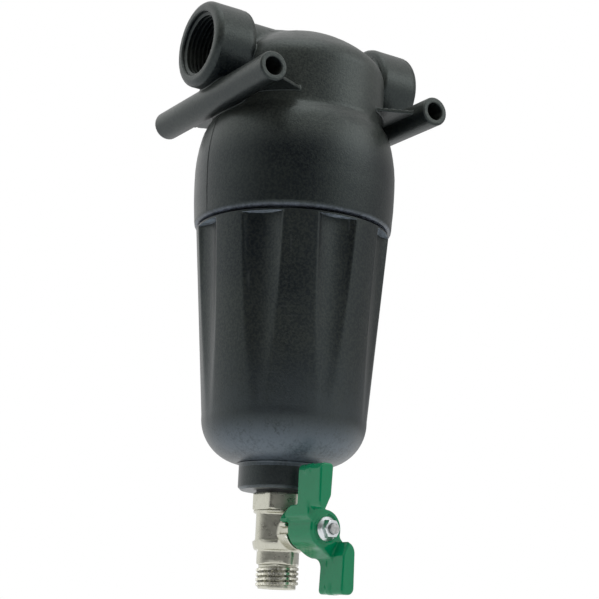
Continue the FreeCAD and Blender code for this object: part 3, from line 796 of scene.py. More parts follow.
def grain_group() -> bpy.types.NodeTree:
    """Fine moulded or cast grain with slow waves: a height, and a mottle for roughness.

    Returns:
        The group.
    """
    group = ShaderGroup("surface_grain", Scale=1500.0, Wave=60.0)
    fine = group.noise(group["Scale"], 3.0)
    wave = group.noise(group["Wave"], 2.0)
    return group.give(Height=fine * 0.8 + wave * 0.2, Mottle=fine * 0.45 + wave * 0.55)


def scuff_group() -> bpy.types.NodeTree:
    """Short rubbed marks and fine scratches that come in patches.

    Returns:
        The group.
    """
    group = ShaderGroup("scuffs", Cover=0.5)
    patches = group.ramp(group.noise(55.0, 3.0), group["Cover"], group["Cover"] + 0.22)
    upright = group.ramp(group.noise(700.0, 2.0, (1.0, 1.0, 0.08)), 0.6, 0.76)
    level = group.ramp(group.noise(520.0, 2.0, (0.12, 0.12, 1.6)), 0.62, 0.78)
    return group.give(Mask=upright.then("MAXIMUM", level) * patches)


def cloud_group() -> bpy.types.NodeTree:
    """Slow changes over a surface with a finer speckle in them.

    Returns:
        The group.
    """
    group = ShaderGroup("clouds", Scale=26.0)
    slow = group.ramp(group.noise(group["Scale"], 4.0), 0.35, 0.65)
    speckle = group.ramp(group.noise(820.0, 3.0), 0.41, 0.60)
    return group.give(Mask=slow * 0.4 + speckle * 0.6)


def haze_and_painted_light_group() -> bpy.types.NodeTree:
    """A lighter band of heights broken up by noise: a cloudy film on dark plastic, which also paints light on
    faces that look down and paints a reflection on the faces toward the camera.

    Returns:
        The group.
    """
    group = ShaderGroup("haze_and_painted_light", End=-0.2, Low=-0.19, Peak=-0.17, High=-0.12, Front=0.0, Under=0.0)
    x, y, height = group.parts(group.place)
    # Painted light: the Under input keeps the band to faces that look down, and the Front input keeps it to
    # the camera's side as a painted reflection.
    down = group.ramp(group.lean(), -0.6, -0.9)
    forward = group.ramp(x * FRONT[0] + y * FRONT[1], -0.012, 0.034)
    kept = (group["Front"] * (forward - 1.0) + 1.0) * (group["Under"] * (down - 1.0) + 1.0)
    band = group.ramp(height, group["Low"], group["Peak"])
    fade = group.ramp(height, group["High"], group["Peak"])
    start = group.ramp(height, group["End"] - 0.0004, group["End"])
    clouds = group.ramp(group.noise(70.0, 4.0), 0.40, 0.64)
    streaks = group.ramp(group.noise(420.0, 3.0, (1.0, 1.0, 0.16)), 0.38, 0.64)
    speckle = group.ramp(group.noise(950.0, 2.0), 0.40, 0.62)
    broken = clouds * 0.35 + streaks * 0.24 + speckle * 0.3 + 0.24
    return group.give(Mask=start * fade * kept * (band * 0.55 + 0.45) * broken)


def pale_tone_group() -> bpy.types.NodeTree:
    """A paler tone on one side of a height, on faces that don't look down, broken up by speckle and patches.

    Returns:
        The group.
    """
    group = ShaderGroup("pale_tone", Low=-0.03, High=-0.01)
    above = group.ramp(group.parts(group.place)[2], group["Low"], group["High"])
    facing = group.ramp(group.lean(), -0.4, 0.1)
    speckle = group.ramp(group.noise(900.0, 3.0), 0.34, 0.66)
    patches = group.ramp(group.noise(45.0, 3.0), 0.3, 0.7)
    return group.give(Mask=above * facing * (speckle * 0.5 + patches * 0.2 + 0.3))


def groove_group() -> bpy.types.NodeTree:
    """The faces nearer the vertical axis than the crests of a thread, where shade is painted.

    Returns:
        The group.
    """
    group = ShaderGroup("grooves", Inner=0.0096, Outer=0.0102)
    x, y, _ = group.parts(group.place)
    across = (x * x + y * y).then("SQRT")
    return group.give(Mask=group.ramp(across, group["Outer"], group["Inner"]))


def edge_wear_and_highlight_group() -> bpy.types.NodeTree:
    """Outer edges made lighter, broken up by noise: rubbed edges, with painted highlights along them.

    Returns:
        The group.
    """
    group = ShaderGroup("worn_and_highlit_edges", Edge=0.53)
    bend = group.number("ShaderNodeNewGeometry", output="Pointiness")
    edge = group.ramp(bend, group["Edge"], group["Edge"] + 0.05)
    return group.give(Mask=edge * group.ramp(group.noise(900.0, 3.0), 0.3, 0.65))


def weave_group() -> bpy.types.NodeTree:
    """A woven wire screen wrapped round the vertical axis: a height and a mask of its wires.

    Returns:
        The group.
    """
    group = ShaderGroup("weave", Pitch=0.0006, Radius=0.03)
    x, y, z = group.parts(group.place)
    round_way = y.then("ARCTAN2", x) * group["Radius"] / group["Pitch"] * math.pi
    up_way = z / group["Pitch"] * math.pi
    wires = round_way.then("SINE").then("ABSOLUTE").then("MAXIMUM", up_way.then("SINE").then("ABSOLUTE"))
    return group.give(Height=wires, Mask=group.ramp(wires, 0.55, 0.8))


class Effects:
    """The shared shader groups."""

    def __init__(self) -> None:
        """Builds each group once."""
        self.grain = grain_group()
        self.scuffs = scuff_group()
        self.clouds = cloud_group()
        self.haze_and_painted_light = haze_and_painted_light_group()
        self.pale_tone = pale_tone_group()
        self.grooves = groove_group()
        self.edge_wear_and_highlight = edge_wear_and_highlight_group()
        self.weave = weave_group()


# Finishes


class Paint(Tree):
    """A material under construction: one Principled shader and what feeds it."""

    def __init__(self, name: str) -> None:
        """Makes the material with its shader and Object coordinates.

        Args:
            name: The material's name.
        """
        self.material = bpy.data.materials.new(name)
        self.material.use_nodes = True
        super().__init__(self.material.node_tree)
        self.shader = self.tree.nodes["Principled BSDF"]
        self.place = self.node("ShaderNodeTexCoord").outputs["Object"]

    def effect(self, group: bpy.types.NodeTree, **values: float) -> bpy.types.NodeOutputs:
        """Places a shared group with this material's own values, and gives its outputs."""
        return self.node("ShaderNodeGroup", {"Place": self.place, **values}, node_tree=group).outputs

    def set(self, **values: object) -> None:
        """Feeds the shader's sockets, a word's underscores standing for spaces."""
        for key, value in values.items():
            self.feed(self.shader.inputs[key.replace("_", " ")], value)

    def mix(self, mask: bpy.types.NodeSocket, first: "Colour | bpy.types.NodeSocket",
            second: "Colour | bpy.types.NodeSocket") -> bpy.types.NodeSocket:
        """Goes from one colour to another.

        Args:
            mask: Where the second one shows.
            first, second: The colours, or sockets that give them.

        Returns:
            The mixed colour.
        """
        ends = [(*colour, 1.0) if isinstance(colour, tuple) else colour for colour in (first, second)]
        mixed = self.node("ShaderNodeMix", {"Factor": mask, 6: ends[0], 7: ends[1]}, data_type="RGBA")
        return mixed.outputs[2]

    def surface(self, colour: bpy.types.NodeSocket, mottle: bpy.types.NodeSocket, roughness: Span,
                height: bpy.types.NodeSocket, relief: float) -> None:
        """Sets what every finish has.

        Args:
            colour: The colour.
            mottle: From 0 to 1, where the surface goes from its lowest roughness to its highest.
            roughness: Those two.
            height: From 0 to 1, how far the surface stands out.
            relief: How far in metres that is.
        """
        rough = self.node("ShaderNodeMapRange", {
            "Value": mottle, "To Min": roughness[0], "To Max": roughness[1]})
        bump = self.node("ShaderNodeBump", {"Strength": 1.0, "Distance": relief, "Height": height})
        self.set(Base_Color=colour, Roughness=rough.outputs["Result"], Normal=bump.outputs[0])


@dataclass(frozen=True)
class BloomAndPaintedLight:
    """Where a lighter band lies on dark plastic, as heights in millimetres, its colour and its side: a cloudy
    film, which is also painted light where it is kept to one side.

    A front of 1 keeps it to the front, where it paints a reflection, and an under of 1 keeps it to the faces
    that look down, where it paints light from below.
    """

    end: float
    low: float
    peak: float
    high: float
    colour: Colour
    front: float = 0.0
    under: float = 0.0

    def inputs(self) -> dict[str, float]:
        """The inputs of the group that paints the band."""
        return {"End": self.end * METRES, "Low": self.low * METRES, "Peak": self.peak * METRES,
                "High": self.high * METRES, "Front": self.front, "Under": self.under}


@dataclass(frozen=True)
class MouldedPlastic:
    """Satin moulded plastic: a fine grain, changes of tint, rubbed marks, a paler tone on one side of a
    height, and lighter bands that are partly a cloudy film and partly painted light and painted reflection.
    """

    name: str
    colour: Colour
    warmer: Colour
    marked: Colour
    pale_tone: Colour
    pale_tone_heights: Span
    blooms_and_painted_light: tuple[BloomAndPaintedLight, ...]
    cover: float
    roughness: Span = (0.27, 0.41)
    grain: float = 1300.0
    relief: float = 0.00014
    refraction: float = 1.49
    sheen_tint: Colour = (0.86, 1.0, 0.98)

    def material(self, effects: Effects) -> bpy.types.Material:
        """Makes the material.

        Args:
            effects: The shared groups.

        Returns:
            The new material.
        """
        paint = Paint(self.name)
        grain = paint.effect(effects.grain, Scale=self.grain)
        low, high = self.pale_tone_heights
        # Paler on faces that don't look down, on one side of a height: above it on the head's dome and
        # shoulder, below it at the bowl's lower end.
        pale_tone = paint.effect(effects.pale_tone, Low=low * METRES, High=high * METRES)
        colour = paint.mix(paint.effect(effects.clouds)["Mask"], self.colour, self.warmer)
        colour = paint.mix(pale_tone["Mask"], colour, self.pale_tone)
        colour = paint.mix(paint.effect(effects.scuffs, Cover=self.cover)["Mask"], colour, self.marked)
        # Lighter bands of heights: a cloudy film, and painted light and painted reflection where a band is
        # kept to faces that look down and to the front.
        for tint_band in self.blooms_and_painted_light:
            colour = paint.mix(paint.effect(effects.haze_and_painted_light, **tint_band.inputs())["Mask"], colour, tint_band.colour)
        paint.surface(colour, grain["Mottle"], self.roughness, grain["Height"], self.relief)
        paint.set(IOR=self.refraction, Specular_Tint=(*self.sheen_tint, 1.0))
        return paint.material


@dataclass(frozen=True)
class PlatedMetal:
    """Plated or bare metal, mottled as cast, with outer edges lightened as rubbed plating and painted
    highlights, and painted shade in any thread's grooves.
    """

    name: str
    colour: Colour
    shaded: Colour
    rubbed_and_highlit: Colour
    roughness: Span = (0.22, 0.42)
    grain: float = 1100.0
    wave: float = 240.0
    relief: float = 0.00003
    grooves: Span | None = None
    groove_shade: Colour = (0.05, 0.05, 0.03)

    def material(self, effects: Effects) -> bpy.types.Material:
        """Makes the material.

        Args:
            effects: The shared groups.

        Returns:
            The new material.
        """
        paint = Paint(self.name)
        grain = paint.effect(effects.grain, Scale=self.grain, Wave=self.wave)
        colour = paint.mix(grain["Mottle"], self.shaded, self.colour)
        # Painted shade: a thread's grooves are darkened.
        if self.grooves:
            inner, outer = self.grooves
            depth = paint.effect(effects.grooves, Inner=inner * METRES, Outer=outer * METRES)
            colour = paint.mix(depth["Mask"], colour, self.groove_shade)
        # Painted highlight: outer edges are lightened, partly as rubbed plating.
        colour = paint.mix(paint.effect(effects.edge_wear_and_highlight)["Mask"], colour, self.rubbed_and_highlit)
        paint.surface(colour, grain["Mottle"], self.roughness, grain["Height"], self.relief)
        paint.set(Metallic=1.0)
        return paint.material


@dataclass(frozen=True)
class Enamel:
    """Thick glossy enamel that has flowed over cast metal, with a slight orange peel."""

    name: str
    colour: Colour
    thin_and_highlit: Colour
    roughness: Span = (0.07, 0.16)
    peel: float = 420.0
    wave: float = 110.0
    relief: float = 0.00006
    worn_and_highlit_edge: float = 0.52
    refraction: float = 1.35
    coat: float = 0.18
    coat_roughness: float = 0.03

    def material(self, effects: Effects) -> bpy.types.Material:
        """Makes the material.

        Args:
            effects: The shared groups.

        Returns:
            The new material.
        """
        paint = Paint(self.name)
        grain = paint.effect(effects.grain, Scale=self.peel, Wave=self.wave)
        colour = paint.mix(grain["Mottle"], self.colour, self.thin_and_highlit)
        # Painted highlight: outer edges go to the paler green, where the enamel also runs thinner.
        colour = paint.mix(paint.effect(effects.edge_wear_and_highlight, Edge=self.worn_and_highlit_edge)["Mask"], colour, self.thin_and_highlit)
        paint.surface(colour, grain["Mottle"], self.roughness, grain["Height"], self.relief)
        paint.set(IOR=self.refraction, Coat_Weight=self.coat, Coat_Roughness=self.coat_roughness)
        return paint.material


@dataclass(frozen=True)
class SmoothPart:
    """A hidden piece's finish: rubber, sealing plastic or the screen's wire."""

    name: str
    colour: Colour
    other: Colour
    roughness: Span
    metallic: float = 0.0
    woven: bool = False
    grain: float = 900.0
    relief: float = 0.00002

    def material(self, effects: Effects) -> bpy.types.Material:
        """Makes the material.

        Args:
            effects: The shared groups.

        Returns:
            The new material.
        """
        paint = Paint(self.name)
        grain = paint.effect(effects.grain, Scale=self.grain)
        mask, height = grain["Mottle"], grain["Height"]
        if self.woven:
            weave = paint.effect(effects.weave)
            mask, height = weave["Mask"], weave["Height"]
        # For the woven screen, the dark second colour fills the gaps between the wires as painted shade.
        paint.surface(paint.mix(mask, self.other, self.colour), grain["Mottle"], self.roughness, height,
                      self.relief)
        paint.set(Metallic=self.metallic)
        return paint.material


class Finishes:
    """Every finish on the filter, made once."""

    def __init__(self) -> None:
        """Makes the materials."""
        lip, (spigot, neck_top) = node_heights("head_casing")[0], node_heights("bowl")
        flange = neck_top - BOWL_NECK
        crest = mount("drain_outlet")["dims"]["r_mm"]
        # Painted light: a pale bluish band on the lip's underside, as if lit from below.
        lip_underside_light = BloomAndPaintedLight(lip - 2.0, lip - 1.0, lip, lip + 1.9, (0.12, 0.14, 0.18))
        # Partly a cloudy film and partly a painted reflection of the pale floor, kept to the front of the
        # bowl's lower corner.
        bottom_film_and_reflection = BloomAndPaintedLight(
            flange - 121.4, flange - 123.5, flange - 111.5, flange - 98.0, (0.27, 0.33, 0.41), front=1.0)
        side_bloom = BloomAndPaintedLight(
            flange - 121.0, flange - 120.9, flange - 100.0, flange - 60.0, (0.022, 0.027, 0.032))
        # Painted light: a pale band on the spigot's lower chamfer, as if lit from below.
        spigot_chamfer_light = BloomAndPaintedLight(spigot - 1.0, spigot, spigot + 0.4, spigot + 1.7, (0.11, 0.13, 0.15))
        # Painted light: a pale bluish band under the flange's ledge, kept to faces that look down, as if lit
        # from below.
        flange_ledge_light = BloomAndPaintedLight(
            flange - 1.3, flange - 1.2, flange - 1.0, flange - 0.8, (0.30, 0.36, 0.43), under=1.0)
        listed = {
            "head": MouldedPlastic(
                "moulded_head", (0.0002, 0.0012, 0.0042), (0.0150, 0.0182, 0.0170), (0.030, 0.034, 0.036),
                (0.052, 0.058, 0.051), (lip + 28.0, lip + 46.0), (lip_underside_light,), cover=0.57),
            "bowl": MouldedPlastic(
                "moulded_bowl", (0.0002, 0.0013, 0.0046), (0.0200, 0.0228, 0.0202), (0.038, 0.042, 0.044),
                (0.020, 0.024, 0.026), (flange - 80.0, flange - 100.0),
                (bottom_film_and_reflection, side_bloom, spigot_chamfer_light, flange_ledge_light), cover=0.5),
            "nickel": PlatedMetal(
                "plated_brass", (0.72, 0.71, 0.62), (0.42, 0.42, 0.35), (0.94, 0.94, 0.90),
                roughness=(0.18, 0.40), grain=860.0, relief=0.000055),
            "thread": PlatedMetal(
                "plated_thread", (0.66, 0.65, 0.52), (0.46, 0.45, 0.34), (0.92, 0.91, 0.82),
                roughness=(0.16, 0.30), grain=1300.0, relief=0.00002, grooves=(crest - 0.42, crest - 0.06)),
            "brass": PlatedMetal("turned_brass", (0.74, 0.58, 0.29), (0.6, 0.45, 0.2), (0.85, 0.72, 0.42)),
            "zinc": PlatedMetal(
                "bright_zinc", (0.80, 0.83, 0.85), (0.62, 0.66, 0.68), (0.93, 0.94, 0.95),
                roughness=(0.26, 0.4), relief=0.00002),
            "steel": PlatedMetal(
                "turned_steel", (0.42, 0.44, 0.43), (0.30, 0.32, 0.31), (0.6, 0.6, 0.6),
                roughness=(0.3, 0.42)),
            "chrome": PlatedMetal(
                "chromed", (0.85, 0.86, 0.87), (0.78, 0.79, 0.80), (0.9, 0.9, 0.9),
                roughness=(0.05, 0.12), relief=0.000005),
            "enamel": Enamel("green_enamel", (0.0005, 0.214, 0.086), (0.002, 0.250, 0.108)),
            "rubber": SmoothPart("black_rubber", (0.02, 0.02, 0.021), (0.03, 0.03, 0.031), (0.5, 0.7)),
            "seat": SmoothPart(
                "white_sealing_plastic", (0.82, 0.82, 0.79), (0.74, 0.74, 0.70), (0.3, 0.45)),
            "cage": SmoothPart("natural_plastic", (0.72, 0.71, 0.66), (0.62, 0.61, 0.56), (0.35, 0.5)),
            "wire": SmoothPart(
                "woven_steel", (0.62, 0.62, 0.63), (0.05, 0.05, 0.05), (0.25, 0.4),
                metallic=1.0, woven=True, relief=0.00015)}
        effects = Effects()
        self.made = {key: finish.material(effects) for key, finish in listed.items()}

    def __getitem__(self, name: str) -> bpy.types.Material:
        """The material of a named finish."""
        return self.made[name]


# Sub-assemblies


@dataclass
class Head:
    """The moulded head with its ports, bolt tubes and webs."""

    finishes: Finishes
    dome_radius: float = 44.9
    dome_corner: float = 13.0
    dome_corner_height: float = 19.2
    dome_top: float = 44.9
    shoulder_radius: float = 12.5
    shoulder_height: float = -17.0
    shoulder_side: float = 80.0
    widest: Span = (52.2, -36.0)
    skirt_side: float = 250.0
    lip_round: float = 2.0
    wall: float = 4.5
    bore_radius: float = 43.7
    inner_step: float = -20.0
    inner_slope: float = 9.0
    collar_radius: float = 22.4
    collar_length: float = 23.0
    collar_front: float = 3.4
    collar_back: float = 3.0
    neck_radius: float = 17.7
    port_bore: float = 13.5
    tube_radius: float = 7.5
    tube_edge: float = 0.9
    web_half_thickness: float = 1.0
    web_fillet: float = 0.5
    web_reach: float = 50.0
    web_dome_half_width: float = 23.0
    duct_radius: float = 18.0
    cup_radius: float = 25.0
    cup_bore: float = 21.0
    cup_heights: tuple[float, float, float] = (-50.0, -38.0, -34.0)
    thread_pitch: float = 2.309
    thread_depth: float = 1.45
    thread_inset: float = 0.5
    thread_flank: float = 0.55
    fillet: float = 1.4
    crease_fillet: float = 1.6
    collar_fillet: float = 0.8
    duct_fillet: float = 1.0
    web_edge: float = 0.4
    cup_edge: float = 0.8
    mouth_edge: float = 0.6
    hole_edge: float = 0.5
    overlap: float = 2.0
    overrun: float = 5.0
    bead_radius: float = 0.1
    bead_sides: int = 8
    cell: float = 0.7
    fine_band: tuple[float, float, float] = (-8.5, 8.5, 0.38)

    def __post_init__(self) -> None:
        """Reads the places of the ports, the bolts and the lip from the frame."""
        self.lip = node_heights("head_casing")[0]
        port = mount("outlet_port")
        bolts = mount("mounting_bolts")
        self.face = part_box("head_casing")[1].x / METRES
        self.port_height = port["pos_m"][2] / METRES
        self.thread_radius = port["dims"]["r_mm"]
        self.mouth_length = 2 * (self.face - port["pos_m"][0] / METRES)
        self.bolt_x = bolts["dims"]["spacing_x_mm"] / 2
        self.bolt_hole = bolts["dims"]["hole_r_mm"]
        self.tube_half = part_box("head_casing")[1].y / METRES

    def crowned(self, outline: Outline, depth: float) -> Outline:
        """Ends an outline with the dome's corner and the crown that meets it and ends on the axis.

        Args:
            outline: The outline so far, up the side of the dome.
            depth: How far inside the dome's surface it runs.

        Returns:
            The same outline.
        """
        radius, corner, top = self.dome_radius - depth, self.dome_corner - depth, self.dome_top - depth
        across, rise = radius - corner, top - self.dome_corner_height
        crown_radius = (across ** 2 + rise ** 2 - corner ** 2) / (2 * (rise - corner))
        centre = top - crown_radius
        meet = math.atan2(self.dome_corner_height - centre, across)
        outline.arc((across, self.dome_corner_height), corner, 0, meet)
        return outline.arc((0, centre), crown_radius, meet, math.pi / 2)

    def web(self) -> Outline:
        """A quarter of the flat webs' plan, from the axis out to a bolt.

        Returns:
            The plan's outline.
        """
        leaves_dome = math.sqrt(self.dome_radius ** 2 - self.web_dome_half_width ** 2)
        end = self.bolt_x + self.overlap / 2
        outline = Outline().to(0, 0).to(self.web_dome_half_width, leaves_dome)
        return outline.to(self.bolt_x, self.web_reach).to(end, self.web_reach).to(end, 0)

    def elbow(self, radius: float, foot: float, end: float,
              places: tuple[Array, Array, Array, Array]) -> Array:
        """Distance to a pipe that runs up the axis and out along +X.

        Args:
            radius: The pipe's radius.
            foot: Height at which it starts.
            end: Where along X it ends.
            places: Distances from the upright axis and from the ports' axis, then x and z.

        Returns:
            Signed distances.
        """
        across, from_port, x, z = places
        bend = np.hypot(across, z - self.port_height) - radius
        pipe = joined(rod(across, z, radius, (foot, self.port_height)), bend)
        return joined(pipe, rod(from_port, x, radius, (0, end)))

    def skirt(self) -> Outline:
        """The turned lip, skirt and shoulder, closed off inside the dome.

        Returns:
            The outline, as distance from the axis and height.
        """
        wide, wide_height = self.widest
        skirt_drop = wide_height - self.lip - self.lip_round
        skirt_angle = math.asin(skirt_drop / self.skirt_side)
        lip_radius = wide - self.skirt_side * (1 - math.cos(skirt_angle))
        side_centre = (wide - self.shoulder_side, wide_height)
        rise = self.shoulder_height - wide_height
        across = math.sqrt((self.shoulder_side - self.shoulder_radius) ** 2 - rise ** 2)
        corner = (side_centre[0] + across, self.shoulder_height)
        meet = math.atan2(rise, across)
        outline = Outline().to(0, self.lip)
        outline.arc((lip_radius - self.lip_round, self.lip + self.lip_round), self.lip_round, -math.pi / 2, 0)
        outline.arc((wide - self.skirt_side, wide_height), self.skirt_side, -skirt_angle, 0)
        outline.arc(side_centre, self.shoulder_side, 0, meet)
        outline.arc(corner, self.shoulder_radius, meet, math.pi / 2)
        return outline.to(0, self.shoulder_height + self.shoulder_radius)

    def dome(self) -> Outline:
        """The turned dome, down to the height of the shoulder's corner."""
        outline = Outline().to(0, self.shoulder_height).to(self.dome_radius, self.shoulder_height)
        return self.crowned(outline, 0.0)

    def inside(self) -> Outline:
        """The turned room inside, open below the lip.

        Returns:
            The outline, as distance from the axis and height.
        """
        below = self.lip - 2 * self.overrun
        outline = Outline().to(0, below).to(self.bore_radius, below).to(self.bore_radius, self.inner_step)
        outline.to(self.dome_radius - self.wall, self.inner_step + self.inner_slope)
        return self.crowned(outline, self.wall)

    def shape(self) -> Field:
        """The head as a field of distances, symmetric about the middle except for the duct.

        Returns:
            The field.
        """
        skirt, dome, inside, web_plan = (
            DistanceTable(part) for part in (self.skirt(), self.dome(), self.inside(), self.web()))
        mouth, cup_top, duct_foot = self.cup_heights
        back, beyond = self.face - self.collar_length, self.face + self.overrun
        inlet_start = -(self.dome_radius - self.wall + self.duct_radius) / 2
        duct_end, bore_foot = self.dome_radius - self.wall / 2, cup_top - self.overlap / 2

        def field(x: Array, y: Array, z: Array) -> Array:
            """The distances at places in millimetres.

            Args:
                x, y, z: The places.

            Returns:
                Signed distances.
            """
            across, side = np.hypot(x, y), np.abs(x)
            from_port = np.hypot(y, z - self.port_height)
            from_bolt = np.hypot(side - self.bolt_x, z)
            places = across, from_port, x, z
            collar = common(from_port - self.collar_radius, side - self.face, self.collar_front)
            collar = common(collar, back - side, self.collar_back)
            neck = rod(from_port, side, self.neck_radius, (0, back + self.overlap))
            tube = rod(from_bolt, y, self.tube_radius, (-self.tube_half, self.tube_half), self.tube_edge)
            flat = slab(z, -self.web_half_thickness, self.web_half_thickness)
            web = common(web_plan(side, np.abs(y)), flat, self.web_edge)
            solid = joined(skirt(across, z), dome(across, z), self.crease_fillet)
            for added, fillet in ((neck, self.fillet), (tube, self.fillet), (web, self.web_fillet),
                                  (collar, self.collar_fillet)):
                solid = joined(solid, added, fillet)
            solid = without(solid, inside(across, z), self.mouth_edge)
            duct = self.elbow(self.duct_radius, duct_foot, duct_end, places)
            cup = rod(across, z, self.cup_radius, (mouth, duct_foot), self.cup_edge)
            solid = joined(solid, joined(duct, cup, self.duct_fillet), self.duct_fillet)
            wet = self.elbow(self.port_bore, bore_foot, beyond, places)
            wet = joined(wet, rod(across, z, self.cup_bore, (mouth - self.overrun, cup_top)))
            wet = joined(wet, rod(from_port, x, self.port_bore, (-beyond, inlet_start)))
            thread = rod(from_port, side, self.thread_radius, (self.face - self.mouth_length, beyond))
            solid = without(solid, joined(wet, thread), self.mouth_edge)
            return without(solid, from_bolt - self.bolt_hole, self.hole_edge)

        return field

    def build(self) -> None:
        """Makes the head, its port threads and its parting lines."""
        low, top = node_heights("head_casing")
        mesher = Mesher(cell=self.cell, thinning=0.08, probe=0.3, fine=self.fine_band)
        head = mesher.build("moulded_head", self.finishes["head"], self.shape(),
                            (-self.face, -self.tube_half, low), (self.face, self.tube_half, top))
        tie(head, Body.HEAD, Slot.PLASTIC, "head_casing")
        start = self.face - self.mouth_length + self.thread_inset
        for name, side in (("inlet_thread", -1), ("outlet_thread", 1)):
            ridge = ThreadRidge(self.thread_radius, self.thread_pitch, -self.thread_depth,
                                self.mouth_length - self.overlap, self.thread_flank)
            made = ridge.build(name, self.finishes["head"])
            stand = Matrix.Translation(Vector((side * start, 0, self.port_height)) * METRES)
            made.data.transform(stand @ Matrix.Rotation(side * math.pi / 2, 4, "Y"))
            tie(made, Body.HEAD, Slot.PLASTIC)
        tie(self.parting_lines(), Body.HEAD, Slot.PLASTIC)

    def parting_lines(self) -> bpy.types.Object:
        """The fine bead that the mould's halves left down each side, from under the neck to the lip.

        Returns:
            The new object.
        """
        points = self.skirt().points()
        low, high = self.lip + self.lip_round, self.port_height - self.neck_radius - self.overlap / 2
        rows = points[(points[:, 1] >= low) & (points[:, 1] <= high) & (points[:, 0] >= self.dome_radius)]
        path = guide("parting_path", np.vstack([rows, (self.dome_radius, high)]))
        tree = Growth("parting_bead", {"Path": path, "Bead radius": self.bead_radius * METRES})
        line = tree.node("GeometryNodeMeshToCurve", {0: tree.drawn("Path")})
        round_bead = tree.node("GeometryNodeCurvePrimitiveCircle", {
            "Resolution": self.bead_sides, "Radius": tree["Bead radius"]})
        bead = tree.node("GeometryNodeCurveToMesh", {
            "Curve": line.outputs[0], "Profile Curve": round_bead.outputs[0], "Fill Caps": True})
        far = tree.node("GeometryNodeTransform", {"Geometry": bead.outputs[0], "Rotation": (0, 0, math.pi)})
        both = tree.node("GeometryNodeJoinGeometry", {0: bead.outputs[0]})
        tree.feed(both.inputs[0], far.outputs[0])
        tree.finish(both.outputs[0], self.finishes["head"])
        return tree.run("parting_lines", sharp_angle=60)


@dataclass
class ThreadRidge:
    """A screw thread's ridge, wound about the vertical axis from the origin up.

    A negative depth points the ridge inwards, as in a nut.
    """

    radius: float
    pitch: float
    depth: float
    length: float
    flank: float
    crest: float = 0.34
    steps_per_turn: int = 96
    run_out_turns: float = 0.4
    least_rise: float = 0.02
    sunk: float = 0.12
    foot_share: float = 0.9

    def section(self) -> Array:
        """The ridge's section: how far it stands out, and its place along the axis.

        Returns:
            One row for each corner.
        """
        foot, top = self.pitch * self.flank * self.foot_share, self.pitch * self.crest / 2
        sign = math.copysign(1.0, self.depth)
        return np.array([(-sign * self.sunk, -foot), (-sign * self.sunk, foot),
                         (self.depth, top), (self.depth, -top)])

    def build(self, name: str, material: bpy.types.Material) -> bpy.types.Object:
        """Winds the ridge and gives the new object.

        Args:
            name: The new object's name.
            material: Its finish.

        Returns:
            The new object.
        """
        turns = self.length / self.pitch
        tree = Sweep(name + "_tree", self.section(), round(turns * self.steps_per_turn), {
            "Radius": self.radius * METRES, "Pitch": self.pitch * METRES, "Turns": turns,
            "Run-out": self.run_out_turns})
        turn = tree.share * tree["Turns"]
        angle = turn * (2 * math.pi)
        from_end = tree["Turns"] - turn
        rise = (turn / tree["Run-out"]).then("MINIMUM", from_end / tree["Run-out"])
        rise = rise.then("MINIMUM", 1.0).then("MAXIMUM", self.least_rise)
        reach = tree["Radius"] + tree.u * rise
        height = tree.v * rise + turn * tree["Pitch"]
        wound = tree.wrap(angle.then("COSINE") * reach, angle.then("SINE") * reach, height, weld=0.0)
        tree.finish(wound, material)
        return tree.run(name, sharp_angle=25)


